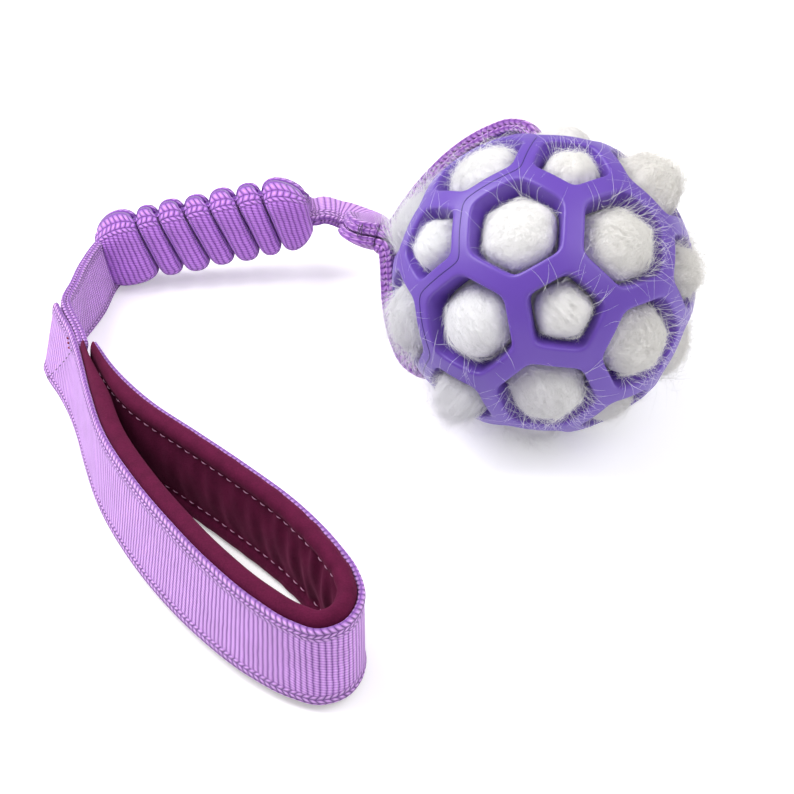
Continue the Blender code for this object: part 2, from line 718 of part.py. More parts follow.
def lining_profile(share, base):
    """Section of the lining: rolled edges, stitched channels and a puffed middle, open to the foam."""
    half = LINING_HEIGHT / 2
    roll = LINING_ROLL_THICKNESS * share
    channel = LINING_CHANNEL_THICKNESS * share
    crown = LINING_CROWN_THICKNESS * share
    room = PAD_THICKNESS * share
    edge = LINING_EDGE_ROUND
    turn = edge * share
    step = half - LINING_ROLL_HEIGHT
    dip = step - LINING_CHANNEL_WIDTH
    pad = PAD_HEIGHT / 2
    lower = [(-pad, 0.0), (-half + edge, 0.0), (-half, turn), (-half, roll - turn),
             (-half + edge, roll), (-step - edge, roll), (-dip, channel), (0.0, crown)]
    upper = [(-h, d) for h, d in reversed(lower[:-1])]
    recess = [(pad, room), (-pad, room)]
    return [(h, base + d) for h, d in lower + upper + recess]


# Straps and threads

def tail_path():
    """Middle line between the two tail layers, from inside the sewn box to the bungee."""
    depth = HANDLE_WEBBING_THICKNESS + GAP + TAIL_THICKNESS + GAP / 2
    lengths = np.linspace(TAIL_HELD_LENGTH, 0, 5)
    middle, up, inward = handle_frames(lengths)
    ease = TAIL_EASE * (1 - lengths / TAIL_HELD_LENGTH)
    held = middle + inward * (depth + ease)[:, None]
    start, along, front, upright = bungee_frame()
    end = start - along * TAIL_CLEARANCE
    turn = math.radians(TAIL_TURN)
    level = unit(along * np.array([1.0, 1.0, 0.0]))
    lead = end - (level * math.cos(turn) - front * math.sin(turn)) * TAIL_LEAD
    thirds = np.array([1, 2])[:, None] / 3
    free = held[-1] * (1 - thirds) + lead * thirds
    free[:, 0] -= TAIL_BULGE
    rows = np.vstack([held, free, lead, end])
    ups = np.vstack([up, unit(up[-1:] + upright), upright, upright, upright])
    both = smooth_rows(np.hstack([rows, unit(ups)]), TAIL_STATIONS)
    return both[:, :3], unit(both[:, 3:])


def make_tail():
    """The two layers of the tail strap."""
    path, ups = tail_path()
    things = []
    offset = (TAIL_THICKNESS + GAP) / 2
    run = run_lengths(path)
    narrow = np.clip((run - TAIL_HELD_LENGTH) / (run[-1] - TAIL_HELD_LENGTH), 0, 1)
    drop = WEBBING_WIDTH * (1 - LEFT_TOP_SHARE_FRONT) / 2 * narrow
    for name, sign in (("tail_strap_outer", 1), ("tail_strap_inner", -1)):
        rings = []
        for i, less in enumerate(drop):
            section = flat_profile(WEBBING_WIDTH - less, TAIL_THICKNESS)
            rings.append([(w - less / 2, d + sign * offset) for w, d in section])
        things.append(loft(name, strip_rings(path, ups, rings), LILAC_WEBBING, 0.8))
    return things


def neck_path(centre):
    """The neck strap's middle line and its width directions, from the bungee to the ball's loop."""
    start, along, front, upright = bungee_frame()
    first = start + along * (bungee_length() + NECK_CLEARANCE) + upright * NECK_LIFT
    path = loop_path(centre, LOOP_STATIONS)
    away = unit(path[0] - path[1])
    last = path[0] + away * NECK_JOIN_GAP
    axis = loop_frame()[0]
    lead = first + along * NECK_START_LEAD
    near = last + away * NECK_END_LEAD
    share = np.array(NECK_WAY_SHARES)[:, None]
    between = lead * (1 - share) + near * share + np.array(NECK_SWINGS)
    rows = np.vstack([first, lead, between, near, (near + last) / 2, last])
    edges = unit(np.vstack([NECK_EDGE_FIRST, NECK_EDGE_FIRST, NECK_EDGES, axis, axis, axis]))
    both = smooth_rows(np.hstack([rows, edges]), NECK_STATIONS)
    return both[:, :3], unit(both[:, 3:])


def part_of_path(path, ups, low, high, count):
    """Rows of a path between two lengths along it, a length below zero counting from its far end."""
    fine = np.hstack([path, ups])
    run = run_lengths(path)
    low, high = [place if place >= 0 else run[-1] + place for place in (low, high)]
    places = np.linspace(low, high, count)
    rows = np.stack([np.interp(places, run, fine[:, k]) for k in range(fine.shape[1])], axis=1)
    return rows[:, :3], unit(rows[:, 3:])


def make_bar(name, path, ups, box, colour):
    """A bar of thread: the box holds its places across the strap and out from its middle."""
    low, high, inner, outer = box
    profile = [(low, inner), (high, inner), (high, outer), (low, outer)]
    return loft(name, strip_rings(path, ups, profile), colour, 0.7)


def make_neck(centre):
    """The folded neck strap, the strap's sewn-back end under it and the dark thread that holds them."""
    path, ups = neck_path(centre)
    profile = folded_profile(LOOP_STRAP_WIDTH, NECK_THICKNESS, LOOP_FOLD_GROOVE)
    neck = loft("neck_strap", strip_rings(path, ups, profile), LILAC_WEBBING, 0.8)
    lower = loop_path(centre, LOOP_STATIONS)[-1]
    through = np.cross(tangents(path)[-1], ups[-1])
    sign = 1 if (lower - path[-1]) @ through > 0 else -1
    offset = (NECK_THICKNESS + NECK_END_THICKNESS) / 2 + NECK_END_GAP
    profile = [(w, d + sign * offset)
               for w, d in folded_profile(LOOP_STRAP_WIDTH, NECK_END_THICKNESS, LOOP_FOLD_GROOVE)]
    rows, edges = part_of_path(path, ups, -NECK_END_BACK - NECK_END_LENGTH, -NECK_END_BACK, NECK_END_STATIONS)
    end = loft("neck_strap_end", strip_rings(rows, edges, profile), LILAC_WEBBING, 0.8)
    rows, edges = part_of_path(path, ups, -NECK_TACK_BACK - NECK_TACK_LENGTH, -NECK_TACK_BACK, 3)
    front = LOOP_STRAP_WIDTH / 2 + GAP
    box = (front, front + NECK_TACK_THICKNESS, -sign * NECK_THICKNESS / 2,
           sign * (NECK_THICKNESS / 2 + NECK_END_GAP + NECK_END_THICKNESS))
    return [neck, end, make_bar("neck_bar_tack", rows, edges, box, DARK_THREAD)]


def make_seams(centre):
    """Dark thread bars across the straps at the two ends of the bungee."""
    path, ups = tail_path()
    rows, edges = part_of_path(path, ups, -SEAM_BACK - SEAM_LENGTH, -SEAM_BACK, 3)
    inner = TAIL_THICKNESS + 3 * GAP
    box = (-SEAM_HEIGHT / 2, SEAM_HEIGHT / 2, inner, inner + SEAM_THICKNESS)
    left = make_bar("bungee_seam_left", rows, edges, box, DARK_THREAD)
    path, ups = neck_path(centre)
    rows, edges = part_of_path(path, ups, SEAM_AHEAD, SEAM_AHEAD + SEAM_LENGTH, 3)
    inner = LOOP_STRAP_WIDTH / 2 + GAP
    box = (-inner - SEAM_THICKNESS, -inner, -NECK_THICKNESS / 2, NECK_THICKNESS / 2)
    return [left, make_bar("bungee_seam_right", rows, edges, box, DARK_THREAD)]


def make_box_threads():
    """Dark diagonal thread and the short red stitches on the sewn box."""
    things = []
    half = WEBBING_WIDTH / 2
    lengths = np.linspace(BOX_LOW, BOX_HIGH, BOX_STATIONS)
    heights = np.linspace(-half + BOX_THREAD * 2, half - BOX_THREAD * 2, BOX_STATIONS)
    middle, up, inward = handle_frames(lengths)
    path = middle + up * heights[:, None] - inward * (GAP + BOX_THREAD / 2)
    profile = flat_profile(BOX_THREAD, BOX_THREAD)
    profile = [profile[0], profile[1], profile[3], profile[4]]
    things.append(loft("box_stitch", strip_rings(path, inward, profile), DARK_THREAD, 0.7))
    low = BOX_HIGH - RED_BACK - RED_LENGTH
    lengths = np.linspace(low, low + RED_LENGTH, 4)
    heights = np.linspace(half - RED_LENGTH, half - RED_THREAD * 2, 4)
    middle, up, inward = handle_frames(lengths)
    path = middle + up * heights[::-1, None] - inward * (GAP + RED_THREAD / 2)
    profile = flat_profile(RED_THREAD, RED_THREAD)
    profile = [profile[0], profile[1], profile[3], profile[4]]
    things.append(loft("red_tack", strip_rings(path, inward, profile), RED_COLOUR, 0.7))
    return things


def place_at_origin(things, points):
    """Moves the toy so that the middle of its footprint is at the origin and the floor at zero.

    Every body gets its own origin at the joint that it moves on, given by its name in points.
    """
    low = np.min([np.min([v.co[:] for v in t.data.vertices], axis=0) for t in things], axis=0)
    high = np.max([np.max([v.co[:] for v in t.data.vertices], axis=0) for t in things], axis=0)
    shift = np.array([-(low[0] + high[0]) / 2, -(low[1] + high[1]) / 2, -low[2]])
    for thing in things:
        point = Vector(points.get(thing.name, -shift))
        for vertex in thing.data.vertices:
            vertex.co = vertex.co - point
        thing.location = point + Vector(shift)
    return shift, low + shift, high + shift


def joint_points(centre):
    """Places of the four joints: handle fold, bungee stretch, neck fold and ball rock."""
    path, ups = tail_path()
    run = run_lengths(path)
    leave = TAIL_HELD_LENGTH + FOLD_BEYOND
    fold = np.array([np.interp(leave, run, path[:, k]) for k in range(3)])
    start, along, front, upright = bungee_frame()
    neck = start + along * (bungee_length() + NECK_CLEARANCE + NECK_START_LEAD) + upright * NECK_LIFT
    return fold, start, neck, centre


def main():
    """Builds every body of the toy."""
    for old in list(bpy.data.objects):
        bpy.data.objects.remove(old)
    lowest = min(p[2] for p in shell_mesh(np.zeros(3))[0])
    centre = np.array([BALL_X, BALL_Y, -lowest])
    cutter = make_loop_cutter(centre)
    ball = make_ball(centre, cutter)
    profile = folded_profile(LOOP_STRAP_WIDTH, LOOP_STRAP_THICKNESS, LOOP_FOLD_GROOVE)
    neck = [make_loop("ball_strap", centre, profile)] + make_neck(centre)
    left, right = make_seams(centre)
    tail = [make_sleeve("sleeve_front", 1), make_sleeve("sleeve_back", -1), left] + make_tail()
    head = [make_elastic()]
    neck.append(right)
    handle = make_handle() + make_box_threads()
    fold, start, turn, middle = joint_points(centre)
    points = {}
    for group, point in ((tail, fold), (head, start), (neck, turn), (ball, middle)):
        for thing in group:
            points[thing.name] = point
    things = ball + neck + tail + head + handle
    shift, low, high = place_at_origin(things, points)
    print("moved by", np.round(shift, 5))
    print("low", np.round(low, 5), "high", np.round(high, 5))
    for name, point in (("fold", fold), ("stretch", start), ("neck", turn), ("ball", middle)):
        print("joint", name, np.round(point + shift, 5))
    print("loop axis", np.round(loop_frame()[0], 5), "bungee", np.round(bungee_frame()[1], 5))
    total = 0
    for thing in things:
        triangles = sum(len(p.vertices) - 2 for p in thing.data.polygons)
        total += triangles
        print(thing.name, triangles)
    print("triangles", total)


main()
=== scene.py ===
# %% [markdown]
# # A lattice ball dog toy
# The toy is a rubber lattice ball stuffed with white fur. A folded lilac strap runs round the ball to a
# gathered bungee, and a second strap joins the bungee to a padded handle. This lesson dresses the packed
# CAD model. Every soft piece is worked out again as a smooth surface, in the place that its solid holds.

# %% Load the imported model
import functools
import json
import math

import bmesh
import bpy
import numpy as np
from mathutils import Euler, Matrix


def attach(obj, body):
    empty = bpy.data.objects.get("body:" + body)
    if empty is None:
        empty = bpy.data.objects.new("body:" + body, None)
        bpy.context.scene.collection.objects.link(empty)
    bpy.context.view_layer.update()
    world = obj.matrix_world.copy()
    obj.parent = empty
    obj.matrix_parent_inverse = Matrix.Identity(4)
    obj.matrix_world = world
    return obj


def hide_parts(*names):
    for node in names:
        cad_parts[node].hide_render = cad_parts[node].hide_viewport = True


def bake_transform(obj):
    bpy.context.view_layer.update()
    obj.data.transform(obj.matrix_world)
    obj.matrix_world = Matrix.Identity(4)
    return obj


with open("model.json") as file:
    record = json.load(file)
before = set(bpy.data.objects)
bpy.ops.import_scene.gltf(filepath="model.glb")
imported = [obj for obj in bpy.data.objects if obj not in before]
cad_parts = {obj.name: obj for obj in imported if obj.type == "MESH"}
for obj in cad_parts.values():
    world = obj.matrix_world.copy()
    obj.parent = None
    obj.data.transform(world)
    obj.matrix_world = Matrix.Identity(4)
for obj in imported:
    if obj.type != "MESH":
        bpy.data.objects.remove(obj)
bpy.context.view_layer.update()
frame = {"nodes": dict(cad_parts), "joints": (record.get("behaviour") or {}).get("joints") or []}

# %% [markdown]
# The straps' routes are written from a point on the floor in front of the toy, and the model's origin is
# under the middle of the toy. The ball's joint tells how far apart the two are, so every route starts
# from that joint and follows the model if it moves.

# %% Places that the pieces share
joints = {joint["name"]: joint for joint in frame["joints"]}
BALL_CENTRE = np.array(joints["ball_rock"]["pos_m"])
ROUTE_BALL = (0.0430, -0.0049)
MOVED = np.array([BALL_CENTRE[0] - ROUTE_BALL[0], BALL_CENTRE[1] - ROUTE_BALL[1], 0.0])
rng = np.random.default_rng(7)
print("ball centre", BALL_CENTRE, "route shift", MOVED)

# %% [markdown]
# ## Camera, floor and light
# The picture was taken with a long lens from about half a metre, looking down at 35 degrees. The floor is
# a plain white sweep. It adds a little light of its own for the camera's rays only, so that it goes white
# in the picture and still keeps the toy's soft shadow.

# %% Camera
SENSOR_MM, LENS_MM = 36.0, 76.62
CAMERA_PLACE = np.array([0.0, -0.4325, 0.3029])
CAMERA_PITCH = 55.0
camera = bpy.data.objects.new("camera", bpy.data.cameras.new("camera"))
camera.data.sensor_width = SENSOR_MM
camera.data.lens = LENS_MM
camera.data.clip_start = 0.01
camera.location = tuple(CAMERA_PLACE + MOVED)
camera.rotation_euler = (math.radians(CAMERA_PITCH), 0.0, 0.0)
bpy.context.scene.collection.objects.link(camera)
bpy.context.scene.camera = camera
bpy.context.scene.view_settings.view_transform = "Standard"
print("camera at", [round(c, 4) for c in camera.location])

# %% Small helpers for shader nodes


def put(tree, kind, values=(), settings=()):
    """Adds a shader node. A value that is a socket is linked, and any other value is written in."""
    made = tree.nodes.new("ShaderNode" + kind)
    for key, value in dict(settings).items():
        setattr(made, key, value)
    for key, value in dict(values).items():
        if isinstance(value, bpy.types.NodeSocket):
            tree.links.new(value, made.inputs[key])
        else:
            made.inputs[key].default_value = value
    return made


def calc(tree, operation, *values):
    """One math step on numbers or sockets, and the socket that holds its result."""
    return put(tree, "Math", dict(enumerate(values)), {"operation": operation}).outputs[0]


def mix(tree, share, first, second, blend="MIX"):
    """Two colours mixed by a share, and the socket that holds the result."""
    made = put(tree, "MixRGB", {"Fac": share, "Color1": first, "Color2": second}, {"blend_type": blend})
    return made.outputs[0]


def noise(tree, place, scale, detail, **more):
    """A noise texture of a scale and a detail, and the socket that holds its value from 0 to 1."""
    return put(tree, "TexNoise", {"Vector": place, "Scale": scale, "Detail": detail, **more}).outputs[0]


def toned(tree, colour, share, span, low):
    """A colour made lighter and darker by a share: colour * (low + span * share)."""
    ramp = calc(tree, "MULTIPLY_ADD", share, span, low)
    tint = put(tree, "CombineColor", {0: ramp, 1: ramp, 2: ramp})
    return mix(tree, 1.0, colour, tint.outputs[0], "MULTIPLY")


def add_bump(tree, shader, height, strength, distance):
    """Tilts a shader's normal by the slope of a height, at a strength up to one and a depth in metres."""
    bump = put(tree, "Bump", {"Strength": strength, "Distance": distance, "Height": height})
    tree.links.new(bump.outputs[0], shader.inputs["Normal"])


def seen_share(tree, other):
    """One for the camera's rays and for one other kind of ray, and zero for the rest."""
    path = put(tree, "LightPath")
    return calc(tree, "MAXIMUM", path.outputs["Is Camera Ray"], path.outputs[other])


def srgb(red, green, blue):
    """A colour as an eye reads it from 0 to 255, turned into the light values that a shader needs."""
    values = np.array([red, green, blue]) / 255.0
    light = np.where(values <= 0.04045, values / 12.92, ((values + 0.055) / 1.055) ** 2.4)
    return (*[float(v) for v in light], 1.0)


def new_material(name, roughness, specular=0.3, sheen=0.0):
    """A material with its Principled shader, ready for a colour and a normal."""
    material = bpy.data.materials.new(name)
    material.use_nodes = True
    shader = material.node_tree.nodes["Principled BSDF"]
    shader.inputs["Roughness"].default_value = roughness
    shader.inputs["Specular IOR Level"].default_value = specular
    shader.inputs["Sheen Weight"].default_value = sheen
    return material, material.node_tree, shader


# %% Floor
FLOOR_REACH, FLOOR_DROP, FLOOR_GLOW = 0.9, 0.0001, 0.36
WHITE = (1.0, 1.0, 1.0, 1.0)
floor_mesh = bpy.data.meshes.new("floor")
corners = [(x * FLOOR_REACH, y * FLOOR_REACH, 0.0) for x, y in ((-1, -1), (1, -1), (1, 1), (-1, 1))]
floor_mesh.from_pydata(corners, [], [(0, 1, 2, 3)])
floor = bpy.data.objects.new("floor", floor_mesh)
bpy.context.scene.collection.objects.link(floor)
floor.location.z = -FLOOR_DROP
material, tree, shader = new_material("white_sweep", 0.9, 0.0)
shader.inputs["Base Color"].default_value = (0.86, 0.86, 0.87, 1.0)
glow = calc(tree, "MULTIPLY", seen_share(tree, "Is Glossy Ray"), FLOOR_GLOW)
tree.links.new(glow, shader.inputs["Emission Strength"])
shader.inputs["Emission Color"].default_value = WHITE
floor_mesh.materials.append(material)

# %% Lamps and world
LAMPS = (("key_lamp", (-0.60, 0.15, 0.80), 0.75, 12.0), ("fill_lamp", (0.75, -0.30, 0.90), 0.9, 7.0))
WORLD_LIGHT, WORLD_SEEN = 0.50, 0.50


def add_lamp(name, place, size, watts):
    """A square soft lamp that looks at the middle of the floor."""
    data = bpy.data.lights.new(name, "AREA")
    data.size = size
    data.energy = watts
    lamp = bpy.data.objects.new(name, data)
    bpy.context.scene.collection.objects.link(lamp)
    lamp.location = place
    way = -np.array(place)
    lamp.rotation_euler = (
        math.acos(-way[2] / np.linalg.norm(way)), 0.0, math.atan2(way[1], way[0]) - math.pi / 2)


for lamp_row in LAMPS:
    add_lamp(*lamp_row)
world = bpy.data.worlds.new("studio")
bpy.context.scene.world = world
world.use_nodes = True
tree = world.node_tree
back = tree.nodes["Background"]
back.inputs["Color"].default_value = WHITE
extra = calc(tree, "MULTIPLY", seen_share(tree, "Is Transmission Ray"), WORLD_SEEN)
tree.links.new(calc(tree, "ADD", WORLD_LIGHT, extra), back.inputs["Strength"])
print("lamps:", [lamp.name for lamp in bpy.data.lights])

# %% [markdown]
# ## Surfaces as grids
# A strap, a padded roll or a strand is a row of sections along a path. Each section has the same number
# of points, so the whole piece is one grid of points, and its faces follow from the grid's row and column
# numbers. The grid closes round its section, and each end is closed with a small fan.

# %% Curves along a row of points


def unit(rows):
    """Vectors brought to length one: each is divided by its own length."""
    rows = np.asarray(rows, float)
    return rows / np.linalg.norm(rows, axis=-1, keepdims=True)


def run_lengths(points):
    """Distance along a row of points: the running sum of the steps between them."""
    steps = np.linalg.norm(np.diff(points, axis=0), axis=1)
    return np.concatenate([[0.0], np.cumsum(steps)])


def tangents(points):
    """Direction of travel at each point: the difference of its two neighbours, at length one."""
    return unit(np.gradient(points, axis=0))


def squared(ways, along):
    """Directions made square to others: each loses its share along them and gets length one."""
    return unit(ways - along * np.sum(ways * along, axis=1, keepdims=True))


def read_rows(places, run, rows):
    """Rows read off at other places of their run: each column is interpolated by itself."""
    return np.stack([np.interp(places, run, column) for column in np.asarray(rows).T], axis=1)


def smooth_rows(rows, count, steps=24):
    """A cubic curve through the rows, cut into count rows at even distances along it.

    Between two rows the curve is their mix by the cubic weights 2t^3 - 3t^2 + 1 and 3t^2 - 2t^3, plus
    the slopes at the two rows by the weights t^3 - 2t^2 + t and t^3 - t^2.
    """
    rows = np.asarray(rows, float)
    run = run_lengths(rows[:, :3])
    slopes = np.gradient(rows, run, axis=0)
    t = (np.arange(steps) / steps)[None, :, None]
    span = np.diff(run)[:, None, None]
    leave, arrive = t ** 3 - 2 * t ** 2 + t, t ** 3 - t ** 2
    start = rows[:-1, None] * (2 * t ** 3 - 3 * t ** 2 + 1) + slopes[:-1, None] * span * leave
    end = rows[1:, None] * (3 * t ** 2 - 2 * t ** 3) + slopes[1:, None] * span * arrive
    dense = np.vstack([(start + end).reshape(-1, rows.shape[1]), rows[-1:]])
    run = run_lengths(dense[:, :3])
    return read_rows(np.linspace(0, run[-1], count), run, dense)


def strip_sections(path, widths, profile):
    """Sections of a strap: each profile row is a place across the strap and a place through it.

    The width direction is made square to the direction of travel, and the third direction is square
    to both. A section is the path's point plus the profile's two numbers along these two directions.
    """
    along = tangents(path)
    widths = squared(widths, along)
    through = np.cross(along, widths)
    profile = np.asarray(profile)
    return path[:, None] + widths[:, None] * profile[..., :1] + through[:, None] * profile[..., 1:2]


# %% From a grid to a mesh


def grid_faces(rows, columns):
    """Corner numbers of a grid's faces, with the last column joined to the first."""
    index = np.arange(rows * columns).reshape(rows, columns)
    right = np.roll(index, -1, axis=1)
    return np.stack([index[:-1], right[:-1], right[1:], index[1:]], axis=-1).reshape(-1, 4)


def fill_mesh(name, points, quads, triangles=(), weave=None):
    """Puts points and faces into a new mesh as whole arrays, turned so that its volume is positive."""
    points = np.asarray(points, float).reshape(-1, 3)
    quads = np.asarray(quads, int).reshape(-1, 4)
    triangles = np.asarray(triangles, int).reshape(-1, 3)
    fans = np.vstack([quads[:, [0, 1, 2]], quads[:, [0, 2, 3]], triangles])
    a, b, c = points[fans[:, 0]], points[fans[:, 1]], points[fans[:, 2]]
    if np.sum(a * np.cross(b, c)) < 0:
        quads = quads[:, ::-1]
        triangles = triangles[:, ::-1]
    corner = np.concatenate([quads.ravel(), triangles.ravel()]).astype(np.int32)
    sizes = np.concatenate([np.full(len(quads), 4), np.full(len(triangles), 3)]).astype(np.int32)
    starts = np.concatenate([[0], np.cumsum(sizes)[:-1]]).astype(np.int32)
    mesh = bpy.data.meshes.new(name)
    mesh.vertices.add(len(points))
    mesh.vertices.foreach_set("co", points.astype(np.float32).ravel())
    mesh.loops.add(len(corner))
    mesh.loops.foreach_set("vertex_index", corner)
    mesh.polygons.add(len(sizes))
    mesh.polygons.foreach_set("loop_start", starts)
    mesh.polygons.foreach_set("use_smooth", np.ones(len(sizes), bool))
    mesh.update(calc_edges=True)
    mesh.validate()
    if weave is not None:
        attribute = mesh.attributes.new("weave", "FLOAT_VECTOR", "POINT")
        attribute.data.foreach_set("vector", np.asarray(weave, np.float32).reshape(-1, 3).ravel())
    return mesh


def merged(mesh):
    """The same mesh with points nearer than a hundredth of a millimetre merged into one."""
    work = bmesh.new()
    work.from_mesh(mesh)
    bmesh.ops.remove_doubles(work, verts=work.verts, dist=0.00001)
    bmesh.ops.recalc_face_normals(work, faces=work.faces)
    work.to_mesh(mesh)
    work.free()
    return mesh


def add_piece(name, mesh, material):
    """Puts a finished mesh into the scene with its material."""
    piece = bpy.data.objects.new(name, mesh)
    bpy.context.scene.collection.objects.link(piece)
    mesh.materials.append(material)
    return piece


def lofted_mesh(name, sections, weave=None):
    """A closed body through sections, with a fan of triangles to the middle of each end."""
    sections = np.asarray(sections, float)
    rows, columns = sections.shape[:2]
    points = np.vstack([sections.reshape(-1, 3), sections[0].mean(axis=0), sections[-1].mean(axis=0)])
    first, last = rows * columns, rows * columns + 1
    ring = np.arange(columns)
    ahead = np.roll(ring, -1)
    base = (rows - 1) * columns
    fans = np.vstack([
        np.stack([np.full(columns, first), ahead, ring], axis=1),
        np.stack([np.full(columns, last), base + ring, base + ahead], axis=1)])
    if weave is not None:
        weave = np.asarray(weave, float)
        weave = np.vstack([weave.reshape(-1, 3), weave[0].mean(axis=0), weave[-1].mean(axis=0)])
    return fill_mesh(name, points, grid_faces(rows, columns), fans, weave)


def weave_rows(path, across, offset=0.0):
    """Cloth coordinates of a strap: length along it, place across it, and a spare zero."""
    across = np.broadcast_to(np.asarray(across, float), (len(path), np.shape(across)[-1]))
    run = np.repeat((run_lengths(path) + offset)[:, None], across.shape[1], axis=1)
    return np.stack([run, across, np.zeros_like(across)], axis=-1)


# %% [markdown]
# ## Webbing
# Nylon webbing of this kind has a ribbed face and a braided edge. The ribs run across the strap, about
# 1.6 mm apart, with narrow grooves, and each rib is laid from short slanted yarns. Near each edge
# three rows of plump yarns cross over and make a braid. Modelling every yarn would take millions of
# faces, so one node group works out the height and the shade of the weave from the cloth coordinates.
# That shade is painted into the colour: painted shade in the grooves and painted highlights on the yarn
# tops and the braid's beads.

# %% Node group for the weave
WEBBING_WIDTH = 0.0250
RIB_PITCH, BRAID_WIDTH = 0.0016, 0.0036
YARN_PITCH, YARN_SLANT, BEAD_PITCH = 0.00088, 0.0032, 0.0018
BRAID_LANES, WOBBLE = 3.0, 0.0007


def weave_group():
    """Height and shade of webbing from its cloth coordinates, built once for every lilac strap.

    A rib is |sin(pi * length / pitch)|^0.55. The slanted yarns are a sine of across / pitch + length /
    slant. A braid has three lanes, and its beads lean one way in one lane and the other in the next.
    """
    group = bpy.data.node_groups.new("webbing_weave", "ShaderNodeTree")
    face = group.interface
    face.new_socket("Cloth", in_out="INPUT", socket_type="NodeSocketVector")
    for name, value in (("Half Width", WEBBING_WIDTH / 2), ("Rib Pitch", RIB_PITCH),
                        ("Braid Width", BRAID_WIDTH)):
        socket = face.new_socket(name, in_out="INPUT", socket_type="NodeSocketFloat")
        socket.default_value = value
    for name in ("Height", "Shade"):
        face.new_socket(name, in_out="OUTPUT", socket_type="NodeSocketFloat")
    take = group.nodes.new("NodeGroupInput")
    give = group.nodes.new("NodeGroupOutput")
    do = functools.partial(calc, group)
    parts = put(group, "SeparateXYZ", {0: take.outputs["Cloth"]})
    along, across = parts.outputs[0], parts.outputs[1]
    wobble = do("SUBTRACT", noise(group, take.outputs["Cloth"], 260.0, 2.0), 0.5)
    place = do("ADD", along, do("MULTIPLY", wobble, WOBBLE))
    turn = do("MULTIPLY", do("DIVIDE", place, take.outputs["Rib Pitch"]), math.pi)
    rib = do("POWER", do("ABSOLUTE", do("SINE", turn)), 0.55)
    slant = do("ADD", do("DIVIDE", across, YARN_PITCH), do("DIVIDE", place, YARN_SLANT))
    yarn = do("SINE", do("MULTIPLY", slant, 2 * math.pi))
    rib = do("ADD", do("MULTIPLY", rib, 0.82), do("MULTIPLY", yarn, 0.16))
    inset = do("SUBTRACT", take.outputs["Half Width"], do("ABSOLUTE", across))
    share = do("DIVIDE", inset, take.outputs["Braid Width"])
    inside = do("MULTIPLY", do("SUBTRACT", share, 0.92), 8.0)
    braid = do("SUBTRACT", 1.0, do("MINIMUM", 1.0, do("MAXIMUM", 0.0, inside)))
    lane = do("MULTIPLY", share, BRAID_LANES)
    number, lane_place = do("FLOOR", lane), do("FRACT", lane)
    lane_side = do("SUBTRACT", do("MULTIPLY", do("MODULO", number, 2.0), 2.0), 1.0)
    bead = do("ADD", do("DIVIDE", place, BEAD_PITCH), do("MULTIPLY", number, 0.5))
    bead = do("ADD", bead, do("MULTIPLY", do("MULTIPLY", lane_place, lane_side), 0.55))
    bead = do("ABSOLUTE", do("SINE", do("MULTIPLY", bead, math.pi)))
    round_lane = do("ABSOLUTE", do("SINE", do("MULTIPLY", lane_place, math.pi)))
    plump = do("MULTIPLY", do("POWER", bead, 0.6), do("POWER", round_lane, 0.5))
    ribs = do("MULTIPLY", rib, do("SUBTRACT", 1.0, braid))
    height = do("ADD", ribs, do("MULTIPLY", do("MULTIPLY", plump, 1.7), braid))
    group.links.new(height, give.inputs["Height"])
    group.links.new(do("ADD", ribs, do("MULTIPLY", plump, braid)), give.inputs["Shade"])
    return group


WEAVE = weave_group()
print("weave group:", len(WEAVE.nodes), "nodes")

# %% Lilac webbing


def webbing_material(name, light, groove_shade_colour):
    """Webbing with painted groove shade and painted yarn-top highlights, and a bump from the weave."""
    material, tree, shader = new_material(name, 0.72, 0.25, 0.25)
    cloth = put(tree, "Attribute", {}, {"attribute_name": "weave"}).outputs["Vector"]
    weave = put(tree, "Group", {}, {"node_tree": WEAVE})
    tree.links.new(cloth, weave.inputs["Cloth"])
    # The weave's shade share mixes the painted groove shade into the painted yarn-top highlights.
    share = calc(tree, "POWER", calc(tree, "MAXIMUM", weave.outputs["Shade"], 0.0), 1.2)
    colour = toned(tree, mix(tree, share, groove_shade_colour, light), noise(tree, cloth, 120.0, 3.0), 0.34, 0.83)
    tree.links.new(colour, shader.inputs["Base Color"])
    add_bump(tree, shader, weave.outputs["Height"], 0.95, 0.0005)
    return material


# Each webbing has a light colour for its painted yarn-top highlights and a dark one for its painted groove
# shade.
LILAC = webbing_material("lilac_webbing_cloth", srgb(228, 172, 249), srgb(114, 50, 158))
# The bungee's copy of the lilac is darker and more saturated: painted shade and purple bounced light from
# between its deep pleats.
PLEAT_SHADED_WEBBING = webbing_material("gathered_webbing_painted_shade", srgb(212, 146, 244), srgb(122, 56, 168))
print("webbing material ready")

# %% [markdown]
# ## The rubber lattice
# The ball is one moulding with twelve five-sided and twenty six-sided holes, like the seams of a
# football. Its sixty junctions come from the twelve corners of an icosahedron: a junction lies a third of
# the way along each edge. Each hole then gets its own patch of rubber: rings of points that run from the
# middle of the bars, over a small rounded rim, down the wall and back under the bars. Neighbouring
# patches share the ring in the middle of the bars, so the merged patches make one closed skin.

# %% Directions of the junctions and holes
BALL_RADIUS = 0.0445
BALL_WALL = 0.0088
BAR_WIDTH = 0.0062
RIM_ROUND = 0.0009
WALL_TAPER = 0.0003
BALL_TURN = (92.7302, 22.3650, 127.3995)
FLAT_SHARE = 0.55


